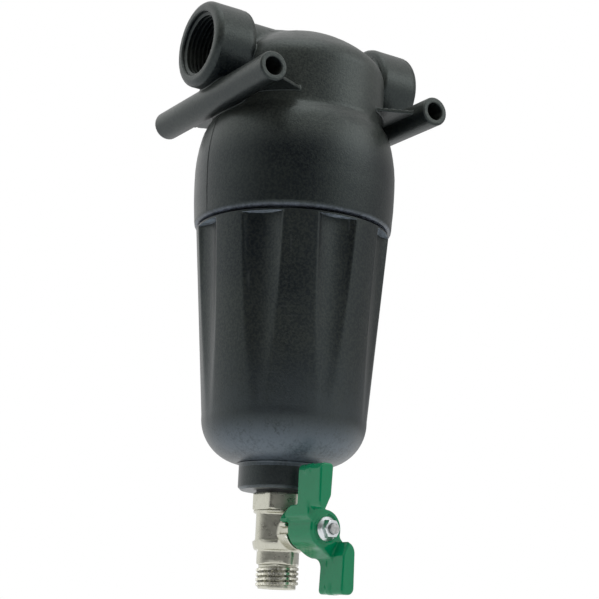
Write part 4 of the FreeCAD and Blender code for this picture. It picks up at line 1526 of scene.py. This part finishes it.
@dataclass
class Bowl:
    """The fluted bowl: one sheet wrapped round the axis, pressed in where the flutes run."""

    finishes: Finishes
    top_radius: float = 49.7
    bottom_radius: float = 41.6
    side_length: float = 96.0
    corner: float = 22.6
    corner_drop: float = 1.0
    neck_radius: float = 43.4
    neck_length: float = BOWL_NECK
    neck_chamfer: float = 1.2
    inner_top: float = 38.8
    inner_straight: float = 1.0
    wall: float = 4.0
    spigot_radius: float = 21.5
    spigot_edge: float = 1.4
    spigot_root: float = 0.9
    spigot_round: float = 0.5
    socket_radius: float = 10.53
    socket_land: float = 12.9
    drain_radius: float = 7.0
    groove: tuple[float, float, float] = (4.0, 40.9, 1.4)
    flange_round: float = 0.4
    flange_thickness: float = 1.0
    flange_step: float = 0.06
    flutes: int = 8
    flute_depth: float = 4.8
    flute_length: float = 95.0
    flute_hollow: float = 20.0
    flute_shoulder: float = 7.6
    shoulder_sharpness: float = 0.107
    edge_softness: float = 1.1
    clock: float = -4.8
    skin: float = 2.2
    weld: float = 0.001
    steps_per_flute: int = 80
    row_step: float = 2.2
    rib_count: int = 4
    rib_half: float = 1.5
    rib_start: float = 10.0
    rib_lip: float = 5.0
    rib_play: float = 0.3
    rib_arc_points: int = 8

    def __post_init__(self) -> None:
        """Reads the bowl's heights from the frame."""
        self.spigot_bottom, neck_top = node_heights("bowl")
        self.flange = neck_top - self.neck_length
        self.side_end = self.flange - self.side_length
        self.corner_height = self.side_end - self.corner_drop
        self.bottom = self.corner_height - self.corner

    def section(self) -> Array:
        """The closed section of the turned bowl: up the inside, over the neck and down the outside.

        Returns:
            The section, as distance from the axis and height.
        """
        flange, floor, neck_top = self.flange, self.bottom + self.wall, self.flange + self.neck_length
        above, groove_radius, groove_half = self.groove
        groove_height = flange + above
        socket_top = self.spigot_bottom + self.socket_land
        inner_bottom = self.bottom_radius - self.wall
        walk = Outline()
        walk.to(self.drain_radius, floor).to(inner_bottom, floor, self.corner - self.wall)
        walk.to(inner_bottom, self.corner_height)
        walk.to(self.inner_top, neck_top - self.inner_straight).to(self.inner_top, neck_top)
        walk.to(self.neck_radius - self.neck_chamfer, neck_top)
        walk.to(self.neck_radius, neck_top - self.neck_chamfer)
        walk.to(self.neck_radius, groove_height + groove_half).to(groove_radius, groove_height + groove_half)
        walk.to(groove_radius, groove_height - groove_half).to(self.neck_radius, groove_height - groove_half)
        walk.to(self.neck_radius, flange).to(self.top_radius, flange, self.flange_round)
        rows = np.arange(self.row_step, self.side_length, self.row_step)
        for drop in (self.flange_thickness, self.flange_thickness + self.flange_step, *rows):
            share = drop / self.side_length
            walk.to(self.top_radius + (self.bottom_radius - self.top_radius) * share, flange - drop)
        walk.to(self.bottom_radius, self.side_end).to(self.bottom_radius, self.bottom, self.corner)
        walk.to(self.spigot_radius, self.bottom, self.spigot_root)
        walk.to(self.spigot_radius, self.spigot_bottom + self.spigot_edge, self.spigot_round)
        walk.to(self.spigot_radius - self.spigot_edge, self.spigot_bottom, self.spigot_round)
        walk.to(self.socket_radius, self.spigot_bottom).to(self.socket_radius, socket_top)
        return walk.to(self.drain_radius, socket_top).points()

    def grow(self) -> bpy.types.Object:
        """Wraps the section round the axis and presses the flutes in.

        Returns:
            The new object.
        """
        taper = (self.top_radius - self.bottom_radius) / self.side_length
        end_radius = self.top_radius - taper * self.flute_length
        floor_lean = (self.top_radius - self.flute_depth - end_radius) / self.flute_length
        tree = Sweep("fluted_bowl", self.section(), self.flutes * self.steps_per_flute, {
            "Flutes": float(self.flutes), "Flute depth": self.flute_depth * METRES,
            "Floor radius": self.flute_hollow * METRES, "Shoulder width": self.flute_shoulder * METRES,
            "Shoulder sharpness": self.shoulder_sharpness * (1 / METRES),
            "Edge softness": self.edge_softness * METRES, "Flange height": self.flange * METRES,
            "Flange radius": self.top_radius * METRES,
            "Flange thickness": (self.flange_thickness + self.flange_step / 2) * METRES,
            "Taper": taper, "Floor lean": floor_lean, "Clock angle": math.radians(self.clock)})
        angle = tree.share * (2 * math.pi)
        down = tree["Flange height"] - tree.v
        land = tree["Flange radius"] - down * tree["Taper"]
        half_pitch = tree.number("ShaderNodeMath", {0: math.pi, 1: tree["Flutes"]}, operation="DIVIDE")
        off = angle.then("PINGPONG", half_pitch)
        across = land * off.then("SINE")
        hollow = across * across / (tree["Floor radius"] * 2)
        beyond = (across - tree["Shoulder width"]).then("MAXIMUM", 0.0)
        trough = hollow + beyond * beyond * tree["Shoulder sharpness"]
        floor = tree["Flange radius"] - tree["Flute depth"] - down * tree["Floor lean"]
        pressed = land - (trough + floor) / off.then("COSINE")
        pressed = pressed.then("SMOOTH_MAX", 0.0, tree["Edge softness"])
        on_side = (tree.u + self.skin * METRES).then("GREATER_THAN", land)
        below = down.then("GREATER_THAN", tree["Flange thickness"])
        radius = tree.u - pressed * on_side * below
        turned = angle + tree["Clock angle"]
        sheet = tree.wrap(turned.then("COSINE") * radius, turned.then("SINE") * radius, tree.v,
                          weld=self.weld * METRES)
        tree.finish(sheet, self.finishes["bowl"])
        return tree.run("fluted_bowl", sharp_angle=38)

    def ribs(self) -> bpy.types.Object:
        """The ribs on the floor that carry the cartridge: one plate, copied round the axis.

        Returns:
            The new object.
        """
        cap_low = node_heights("screen_end_cap")[0]
        cap_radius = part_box("screen_end_cap")[1].x / METRES
        seat, side = cap_low - self.rib_play, cap_radius + self.rib_play
        lip = seat + self.rib_lip
        centre, middle = self.bottom_radius - self.corner, self.corner - self.wall / 2
        swing = math.acos((self.corner_height - lip) / middle)
        outline = [(self.rib_start, self.corner_height - middle)]
        outline += [(centre + middle * math.sin(angle), self.corner_height - middle * math.cos(angle))
                    for angle in np.linspace(0, swing, self.rib_arc_points)]
        outline += [(side, lip), (side, seat), (self.rib_start, seat)]
        count = len(outline)
        places = np.array([(u, face * self.rib_half, v) for face in (-1, 1) for u, v in outline])
        faces = [tuple(range(count)), tuple(range(2 * count - 1, count - 1, -1))]
        faces += [(i, i + count, (i + 1) % count + count, (i + 1) % count) for i in range(count)]
        plate = new_object("rib_plate", places, faces)
        close_and_turn_out(plate)
        tree = Growth("cradle_ribs", {
            "Rib": plate, "Count": self.rib_count, "Start angle": math.radians(45 + self.clock)})
        line = tree.node("GeometryNodeMeshLine", {"Count": tree["Count"], "Offset": (0, 0, 0)})
        index = tree.number("GeometryNodeInputIndex")
        turn = index * (2 * math.pi) / tree["Count"] + tree["Start angle"]
        spin = tree.node("ShaderNodeCombineXYZ", {2: turn})
        copies = tree.node("GeometryNodeInstanceOnPoints", {
            "Points": line.outputs[0], "Instance": tree.drawn("Rib"), "Rotation": spin.outputs[0]})
        tree.finish(copies.outputs[0], self.finishes["bowl"])
        return tree.run("cradle_ribs", sharp_angle=30)

    def build(self) -> None:
        """Makes the bowl and its inner ribs."""
        tie(self.grow(), Body.BOWL, Slot.PLASTIC, "bowl")
        tie(self.ribs(), Body.BOWL, Slot.PLASTIC)


@dataclass
class DrainValve:
    """The plated valve under the bowl: the insert, the body with its stem boss, and the outlet thread."""

    finishes: Finishes
    insert_across_flats: float = 24.2
    insert_corner: float = 13.6
    insert_chamfer: tuple[float, float, float] = (0.9, 0.1, 0.6)
    insert_facing: float = 30.0
    insert_thread: float = 10.4
    insert_bore: float = 6.0
    insert_pocket: Span = (8.5, 1.7)
    insert_edges: tuple[float, float, float] = (0.35, 0.5, 0.3)
    thread_root: float = 9.35
    thread_pitch: float = 2.309
    thread_flank: float = 0.56
    thread_crest: float = 0.52
    thread_ends: Span = (1.0, 0.5)
    chamber_radius: float = 13.2
    chamber_height: float = 15.6
    chamber_across_flats: float = 22.0
    chamber_rings: Span = (1.4, 0.9)
    square_facing: float = 45.0
    cone_height: float = 3.8
    cone_overrun: float = 8.0
    neck_across_flats: float = 20.0
    neck_corner: float = 11.9
    neck_height: float = 7.0
    outlet_bore: float = 7.2
    outlet_depth: float = 14.0
    boss_radius: float = 7.2
    boss_length: float = 18.0
    stop_end: float = 17.4
    lug: tuple[float, float, float, float] = (10.3, 162.0, 12.0, 12.6)
    rim: tuple[float, float, float, float] = (9.6, 195.0, 184.0, 10.0)
    cavity_radius: float = 9.2
    cavity_half: float = 5.2
    ball_way: float = 5.0
    insert_room: Span = (10.45, 4.4)
    stem_rooms: tuple[tuple[float, Span], ...] = ((4.9, (0, 11.8)), (3.5, (0, 30)), (5.45, (13.2, 30)))
    cast_fillet: float = 0.8
    ring_edge: float = 0.8
    waste_edge: float = 0.7
    flat_edge: float = 1.3
    turned_edge: float = 0.4
    stop_edge: float = 0.5
    thread_fillet: float = 0.3
    room_edge: float = 0.2
    outlet_edge: float = 0.6
    margin: float = 1.0
    cell: float = 0.28

    def __post_init__(self) -> None:
        """Reads the valve's heights from the frame."""
        self.bottom, self.top = node_heights("valve_body")
        low, high = node_heights("ball")
        self.axis_height = (low + high) / 2
        self.drain_radius = mount("drain_outlet")["dims"]["r_mm"]
        self.chamber_bottom = self.top - self.chamber_height
        self.cone_bottom = self.chamber_bottom - self.cone_height
        self.neck_bottom = self.cone_bottom - self.neck_height

    def body_shape(self) -> Field:
        """The valve body, its stem pointing along -Y, as a field of distances.

        Returns:
            The field.
        """
        top_ring, low_ring = self.chamber_rings
        wide, above, below = self.chamber_radius + self.cone_overrun, self.top + LAP, self.bottom - PAST
        cone = Outline().to(0, above).to(wide, above).to(wide, self.chamber_bottom + LAP)
        cone.to(self.chamber_radius, self.chamber_bottom).to(self.neck_corner, self.cone_bottom)
        cone_table = DistanceTable(cone.to(0, self.cone_bottom))
        insert_radius, insert_depth = self.insert_room
        insert_floor = self.top - insert_depth

        def field(x: Array, y: Array, z: Array) -> Array:
            """The distances at places in millimetres.

            Args:
                x, y, z: The places.

            Returns:
                Signed distances.
            """
            across, along, up = np.hypot(x, y), -y, z - self.axis_height
            from_stem = np.hypot(x, up)
            chamber = rod(across, z, self.chamber_radius, (self.cone_bottom, self.top), self.ring_edge)
            chamber = common(chamber, cone_table(across, z), self.ring_edge)
            square = flats(x, y, self.chamber_across_flats, 4, self.square_facing)
            band = slab(z, self.chamber_bottom + low_ring, self.top - top_ring)
            chamber = without(chamber, common(-square, band, self.waste_edge), self.flat_edge)
            neck_ends = (self.neck_bottom, self.cone_bottom + LAP)
            neck = rod(across, z, self.neck_corner, neck_ends, self.turned_edge)
            neck = common(neck, flats(x, y, self.neck_across_flats, 4, self.square_facing), self.flat_edge)
            thread_ends = (self.bottom, self.neck_bottom + LAP)
            thread = rod(across, z, self.thread_root, thread_ends, self.turned_edge)
            boss = rod(from_stem, along, self.boss_radius, (0, self.boss_length), self.turned_edge)
            solid = joined(chamber, neck, self.flat_edge)
            solid = joined(solid, thread, self.thread_fillet)
            solid = joined(solid, boss, self.cast_fillet)
            for radius, start, sweep, root in (self.lug, self.rim):
                stop = rod(from_stem, along, radius, (root, self.stop_end), self.stop_edge)
                stop = common(stop, sector(x, up, start, sweep), self.stop_edge)
                solid = joined(solid, stop, self.cast_fillet)
            rooms = rod(across, z, self.cavity_radius, (self.axis_height - self.cavity_half, insert_floor))
            rooms = joined(rooms, rod(across, z, insert_radius, (insert_floor, self.top + PAST)))
            rooms = joined(rooms, rod(across, z, self.ball_way, (below, self.axis_height)))
            for radius, ends in self.stem_rooms:
                rooms = joined(rooms, rod(from_stem, along, radius, ends))
            outlet = rod(across, z, self.outlet_bore, (below, self.bottom + self.outlet_depth))
            return without(without(solid, rooms, self.room_edge), outlet, self.outlet_edge)

        return field

    def insert_shape(self, low: float, high: float) -> Field:
        """The hexagonal insert with its two threaded ends, between two heights.

        Args:
            low: The insert's lower end.
            high: Its upper end.

        Returns:
            The field.
        """
        hex_bottom, hex_top = self.top, node_heights("insert_seal")[0]
        inwards, outwards, rise = self.insert_chamfer
        narrow, wide = self.insert_corner - inwards, self.insert_corner + outwards
        ends = Outline().to(0, hex_bottom).to(narrow, hex_bottom).to(wide, hex_bottom + rise)
        turned = DistanceTable(ends.to(wide, hex_top - rise).to(narrow, hex_top).to(0, hex_top))
        nut_edge, top_edge, edge = self.insert_edges
        pocket_radius, pocket_depth = self.insert_pocket

        def field(x: Array, y: Array, z: Array) -> Array:
            """The distances at places in millimetres.

            Args:
                x, y, z: The places.

            Returns:
                Signed distances.
            """
            across = np.hypot(x, y)
            hexagon = flats(x, y, self.insert_across_flats, 6, self.insert_facing)
            nut = common(turned(across, z), hexagon, nut_edge)
            solid = joined(nut, rod(across, z, self.drain_radius, (hex_top - LAP, high), top_edge))
            solid = joined(solid, rod(across, z, self.insert_thread, (low, hex_bottom + LAP), edge))
            bore = rod(across, z, self.insert_bore, (low - PAST, high + PAST))
            bore = joined(bore, rod(across, z, pocket_radius, (low - PAST, low + pocket_depth)))
            return without(solid, bore, edge)

        return field

    def build(self) -> None:
        """Makes the insert, the body and the outlet's thread."""
        mesher = Mesher(cell=self.cell, thinning=0.025)
        turn = Matrix.Rotation(math.radians(VALVE_CLOCK), 4, "Z")
        wide, nickel = self.chamber_radius + self.margin, self.finishes["nickel"]
        low, high = node_heights("valve_insert")
        insert = mesher.build("hexagonal_insert", nickel, self.insert_shape(low, high),
                              (-wide, -wide, low), (wide, wide, high), turn)
        tie(insert, Body.BOWL, Slot.NICKEL, "valve_insert")
        body = mesher.build("ball_valve_body", nickel, self.body_shape(),
                            (-wide, -self.boss_length, self.bottom), (wide, wide, self.top), turn)
        tie(body, Body.BOWL, Slot.NICKEL, "valve_body")
        start, gap = self.thread_ends
        ridge = ThreadRidge(
            self.thread_root, self.thread_pitch, self.drain_radius - self.thread_root,
            self.neck_bottom - self.bottom - (start + gap), self.thread_flank, self.thread_crest,
            run_out_turns=0.3)
        thread = ridge.build("outlet_pipe_thread", self.finishes["thread"])
        thread.data.transform(Matrix.Translation((0, 0, (self.bottom + start) * METRES)))
        tie(thread, Body.BOWL, Slot.NICKEL)


@dataclass
class DrainHandle:
    """The enamelled butterfly handle and its flange nut, shaped with the stem standing upright."""

    finishes: Finishes
    hub_radius: float = 9.3
    hub_ends: Span = (18.0, 36.7)
    hub_edge: float = 1.2
    recess: Span = (7.6, 30.7)
    recess_edge: float = 0.5
    wing_reach: float = 30.35
    wing_sides: Span = (3.6, 11.5)
    wing_back: float = 0.5
    wing_rear: float = 27.8
    wing_front: float = 45.0
    wing_fillets: Span = (0.9, 1.2)
    tip_rounds: Span = (2.0, 3.2)
    foot_height: float = 6.0
    foot_inset: float = 8.3
    foot_slope: float = 3.0
    foot_round: float = 1.2
    inner_foot: float = 14.0
    waist: float = 0.8
    waist_round: float = 1.5
    plate_edges: Span = (0.7, 0.6)
    roots: tuple[Span, Span] = ((11.0, 1.0), (13.5, 5.0))
    root_insets: Span = (0.0, 5.2)
    back_rounds: Span = (6.0, 4.0)
    front_feet: Span = (8.6, 5.6)
    front_rounds: Span = (3.4, 5.4)
    front_edge: float = 0.9
    front_root: float = 4.0
    front_fillet: float = 0.8
    slant: Span = (3.1, 6.4)
    tab: tuple[float, float, float, float] = (7.8, 11.6, 110.0, 51.0)
    tab_start: float = 13.8
    tab_root: float = 1.6
    tab_edges: tuple[float, float, float] = (0.6, 0.3, 1.2)
    face_groove: tuple[float, float, float] = (6.75, 0.45, 0.4)
    fine_edge: float = 0.2
    stem_flats: Span = (3.45, 4.9)
    nut_across_flats: float = 8.0
    nut_chamfer: tuple[float, float, float] = (0.2, 0.7, 0.5)
    nut_flange: Span = (5.9, 1.2)
    nut_flange_rounds: Span = (0.3, 0.25)
    nut_skirt: tuple[float, float, float] = (0.55, 0.4, 1.5)
    nut_height: float = 5.0
    stud_radius: float = 2.55
    stud_edge: float = 0.35
    cell: float = 0.36
    nut_cell: float = 0.16
    margins: Span = (0.5, 0.3)

    def plate(self, inset: float) -> DistanceTable:
        """A wing's back plate as seen from the front, the upper wing's way up.

        Args:
            inset: Where the plate's inner edge meets the hub.

        Returns:
            The plate's plan.
        """
        inner, outer = -self.wing_sides[0], -self.wing_sides[1]
        inner_round, outer_round = self.tip_rounds
        circle = self.hub_radius - self.waist
        walk = Outline().to(0, 0).to(-self.foot_inset, self.foot_height - self.foot_slope)
        walk.to(outer, self.foot_height, self.foot_round)
        walk.to(outer, self.wing_reach, outer_round).to(inner, self.wing_reach, inner_round)
        walk.to(inner - self.waist, self.inner_foot, self.waist_round)
        return DistanceTable(walk.to(inset, math.sqrt(circle ** 2 - inset ** 2)))

    def block(self, foot: float, rounding: float) -> DistanceTable:
        """A wing's front block as seen from the front, the upper wing's way up.

        Args:
            foot: Height at which the block begins.
            rounding: Radius of its outer foot.

        Returns:
            The block's plan.
        """
        inner, outer = -self.wing_sides[0], -self.wing_sides[1]
        inner_round, outer_round = self.tip_rounds
        waist = inner - self.waist
        run, rise = self.slant
        walk = Outline().to(outer, foot, rounding)
        walk.to(outer, self.wing_reach, outer_round).to(inner, self.wing_reach, inner_round)
        walk.to(waist, foot + rise, self.waist_round)
        return DistanceTable(walk.to(waist - run, foot, self.front_fillet))

    def shape(self) -> Field:
        """The handle as a field of distances: x to the right, y up and z out along the stem.

        Returns:
            The field.
        """
        plates = [self.plate(inset) for inset in self.root_insets]
        blocks = [self.block(foot, rounding) for foot, rounding in zip(self.front_feet, self.front_rounds)]
        hub_start, hub_end = self.hub_ends
        recess_radius, recess_end = self.recess
        inner, outer, tab_angle, tab_sweep = self.tab
        rim_edge, bore_edge, end_edge = self.tab_edges
        plan_edge, side_edge = self.plate_edges
        groove_radius, groove_half, groove_depth = self.face_groove
        flat_radius, flat_height = self.stem_flats
        upper_fillet, lower_fillet = self.wing_fillets

        def wing(x: Array, y: Array, z: Array, index: int) -> Array:
            """The distances to one of the two wings.

            Args:
                x, y, z: The places, turned so that the wing points up.
                index: Which wing.

            Returns:
                Signed distances.
            """
            height, rounding = self.roots[index]
            back = hub_start + self.wing_back
            root = common(y - height, back - z, self.back_rounds[index])
            side_view = joined(root, self.wing_rear - z, rounding)
            plate = common(plates[index](x, y), slab(z, back, hub_end), plan_edge)
            plate = common(plate, side_view, side_edge)
            thickness = slab(z, hub_end - self.front_root, self.wing_front)
            return joined(plate, common(blocks[index](x, y), thickness, self.front_edge), self.front_fillet)

        def field(x: Array, y: Array, z: Array) -> Array:
            """The distances at places in millimetres.

            Args:
                x, y, z: The places.

            Returns:
                Signed distances.
            """
            across = np.hypot(x, y)
            hub = rod(across, z, self.hub_radius, (hub_start, hub_end), self.hub_edge)
            groove = common(np.abs(across - groove_radius) - groove_half, hub_end - groove_depth - z,
                            self.fine_edge)
            hub = without(hub, groove, self.fine_edge)
            solid = joined(hub, wing(x, y, z, 0), upper_fillet)
            solid = joined(solid, wing(-x, -y, z, 1), lower_fillet)
            tab = rod(across, z, outer, (self.tab_start, hub_start + self.tab_root), rim_edge)
            tab = without(tab, across - inner, bore_edge)
            solid = joined(solid, common(tab, sector(x, y, tab_angle, tab_sweep), end_edge), upper_fillet)
            recess = rod(across, z, recess_radius, (self.tab_start - PAST, recess_end))
            solid = without(solid, recess, self.recess_edge)
            hole = common(across - flat_radius, np.abs(y) - flat_height / 2)
            hole = common(hole, slab(z, recess_end - PAST, hub_end + PAST))
            return without(solid, hole, self.fine_edge)

        return field

    def nut_shape(self, start: float, top: float) -> Field:
        """The flange nut in the same frame, between two places along the stem.

        Args:
            start: Where the nut begins.
            top: Where it ends.

        Returns:
            The field.
        """
        corner = self.nut_across_flats / math.sqrt(3)
        outwards, inwards, drop = self.nut_chamfer
        walk = Outline().to(0, start).to(corner + outwards, start).to(corner + outwards, top - drop)
        turned = DistanceTable(walk.to(corner - inwards, top).to(0, top))
        (flange_radius, flange_height), (low_round, high_round) = self.nut_flange, self.nut_flange_rounds
        rim_share, inset, skirt_share = self.nut_skirt
        skirt_top = start + flange_height * skirt_share
        skirt = Outline().to(0, start).to(flange_radius, start, low_round)
        skirt.to(flange_radius, start + flange_height * rim_share, high_round).to(corner - inset, skirt_top)
        skirt_table = DistanceTable(skirt.to(0, skirt_top))

        def field(x: Array, y: Array, z: Array) -> Array:
            """The distances at places in millimetres.

            Args:
                x, y, z: The places.

            Returns:
                Signed distances.
            """
            across = np.hypot(x, y)
            nut = common(turned(across, z), flats(x, y, self.nut_across_flats, 6, 0.0), self.fine_edge)
            solid = joined(nut, skirt_table(across, z), low_round)
            bore = rod(across, z, self.stud_radius, (start - PAST, top + PAST))
            return without(solid, bore, self.stud_edge)

        return field

    def build(self) -> None:
        """Makes the handle and its nut, in the frame that starts at the ball and runs out along the stem."""
        low, high = node_heights("ball")
        lie_down = Matrix.Rotation(math.pi / 2, 4, "X")
        clocked = Matrix.Rotation(math.radians(VALVE_CLOCK), 4, "Z")
        turn = clocked @ Matrix.Translation((0, 0, (low + high) / 2)) @ lie_down
        margin, nut_margin = self.margins
        reach, side = self.wing_reach + margin, self.wing_sides[1] + margin
        handle = Mesher(cell=self.cell, thinning=0.03).build(
            "butterfly_handle", self.finishes["enamel"], self.shape(),
            (-side, -reach, self.tab_start), (side, reach, self.wing_front), turn)
        tie(handle, Body.HANDLE, Slot.ENAMEL, "handle")
        wide, start = self.nut_flange[0] + nut_margin, self.hub_ends[1]
        top = start + self.nut_height
        nut = Mesher(cell=self.nut_cell, thinning=0.03, probe=0.08).build(
            "flange_nut", self.finishes["zinc"], self.nut_shape(start, top),
            (-wide, -wide, start), (wide, wide, top), turn)
        tie(nut, Body.HANDLE, Slot.ZINC, "handle_nut")


@dataclass
class InnerPieces:
    """The pieces that keep their own solids: the cartridge, the rings and what is inside the valve."""

    finishes: Finishes
    dress = {
        "cage": ("cartridge_collar", "screen_cage", "screen_end_cap"), "wire": ("screen_mesh",),
        "rubber": ("bowl_ring", "collar_ring", "insert_seal"), "chrome": ("ball",),
        "seat": ("upper_ball_seat", "lower_ball_seat", "thrust_washer", "stem_packing"),
        "brass": ("gland_nut",), "steel": ("valve_stem",)}

    def build(self) -> None:
        """Gives each of them its finish."""
        for finish, names in self.dress.items():
            for name in names:
                materials = frame["nodes"][name].data.materials
                materials.clear()
                materials.append(self.finishes[finish])
            log.info("%s on %s", finish, ", ".join(names))


@dataclass
class Studio:
    """The pale floor, the soft light and the camera."""

    camera_place: Place = (-384.416, -617.971, -266.858)
    camera_aim: Place = (4.360, -2.755, -97.697)
    camera_roll: float = 2.497
    lens: float = 87.578
    sensor: float = 36.0
    floor_height: float = -340.0
    floor_radius: float = 3500.0
    floor_points: int = 96
    floor_grey: float = 0.88
    floor_roughness: float = 0.7
    floor_fade: Span = (0.5, 0.9)
    dark_side: Place = (-0.647, -0.763, -0.02)
    dark_reach: Span = (0.3, 1.42)
    dark_flatness: float = 1.08
    right_side: Place = (0.952, 0.304, 0.0)
    right_reach: Span = (0.25, 0.95)
    right_level: float = 0.4
    lamps: tuple[tuple[str, Place, Place, Span], ...] = (
        ("right_softbox", (660, -720, 540), (0, 0, -20), (820, 420)),
        ("top_softbox", (-150, -250, 900), (0, 0, 0), (700, 700)))
    lamp_watts: float = 1.5

    def camera(self) -> None:
        """Stands the camera where the picture was taken from."""
        data = bpy.data.cameras.new("camera")
        data.lens, data.sensor_width, data.sensor_fit = self.lens, self.sensor, "HORIZONTAL"
        made = stood("camera", data)
        made.location = Vector(self.camera_place) * METRES
        level = (Vector(self.camera_aim) * METRES - made.location).to_track_quat("-Z", "Y")
        made.rotation_mode = "QUATERNION"
        made.rotation_quaternion = level @ Quaternion((0, 0, 1), math.radians(self.camera_roll))
        bpy.context.scene.camera = made

    def world(self) -> None:
        """A white room, darker where the camera stands, that the camera itself sees as plain white."""
        world = bpy.data.worlds.new("white_room")
        bpy.context.scene.world = world
        world.use_nodes = True
        tree = Tree(world.node_tree)
        way = tree.node("ShaderNodeTexCoord").outputs["Generated"]
        off = tree.vector("SUBTRACT", way, self.dark_side).outputs["Vector"]
        off = tree.vector("MULTIPLY", off, (1.0, 1.0, self.dark_flatness)).outputs["Vector"]
        far = tree.vector("LENGTH", off).outputs["Value"]
        aside = tree.vector("DOT_PRODUCT", way, self.right_side).outputs["Value"]
        front = tree.ramp(far, *self.dark_reach)
        right = tree.ramp(aside, *self.right_reach, (1.0, self.right_level))
        seen = tree.number("ShaderNodeLightPath", output="Is Camera Ray")
        background = world.node_tree.nodes["Background"]
        tree.feed(background.inputs["Color"], (1, 1, 1, 1))
        tree.feed(background.inputs["Strength"], (front * right).then("MAXIMUM", seen))

    def floor(self) -> None:
        """A wide pale floor that fades to white far from the filter."""
        edge = [(self.floor_radius * math.cos(t), self.floor_radius * math.sin(t), self.floor_height)
                for t in np.linspace(0, 2 * math.pi, self.floor_points, endpoint=False)]
        floor = new_object("floor", np.array(edge), [tuple(range(len(edge)))])
        paint = Paint("pale_floor")
        paint.set(Base_Color=(*[self.floor_grey] * 3, 1), Roughness=self.floor_roughness)
        far = Formula(paint, paint.vector("LENGTH", paint.place).outputs["Value"])
        rays = paint.node("ShaderNodeLightPath").outputs
        mirrored = Formula(paint, rays["Is Glossy Ray"]) + Formula(paint, rays["Is Transmission Ray"])
        near, per_metre = self.floor_fade
        far = ((far - near) * per_metre).then("MINIMUM", 1.0).then("MAXIMUM", 0.0)
        seen = far * Formula(paint, rays["Is Camera Ray"])
        white = paint.node("ShaderNodeEmission").outputs[0]
        mix = paint.node("ShaderNodeMixShader", {
            0: (seen + mirrored).then("MINIMUM", 1.0), 1: paint.shader.outputs[0], 2: white})
        paint.feed(paint.tree.nodes["Material Output"].inputs["Surface"], mix.outputs[0])
        floor.data.materials.append(paint.material)

    def lamp(self, name: str, place: Place, aim: Place, size: Span) -> None:
        """A soft oblong lamp at a place, turned to a point, all in millimetres.

        Args:
            name: The lamp's name.
            place: Where it stands.
            aim: The point that it is turned to.
            size: Its width and height.
        """
        data = bpy.data.lights.new(name, "AREA")
        data.shape = "RECTANGLE"
        data.size, data.size_y = size[0] * METRES, size[1] * METRES
        data.energy = self.lamp_watts
        made = stood(name, data)
        made.location = Vector(place) * METRES
        look = (Vector(aim) - Vector(place)).normalized()
        made.rotation_euler = look.to_track_quat("-Z", "Y").to_euler()

    def build(self) -> None:
        """Makes the whole studio."""
        bpy.context.scene.view_settings.view_transform = "Standard"
        self.world()
        self.floor()
        for lamp in self.lamps:
            self.lamp(*lamp)
        self.camera()


def main() -> None:
    """Builds every part of the picture in order."""
    logging.basicConfig(level=logging.INFO, format="%(message)s")
    finishes = Finishes()
    for kind in (Head, Bowl, DrainValve, DrainHandle, InnerPieces):
        kind(finishes).build()
    Studio().build()


if __name__ == "__main__":
    main()
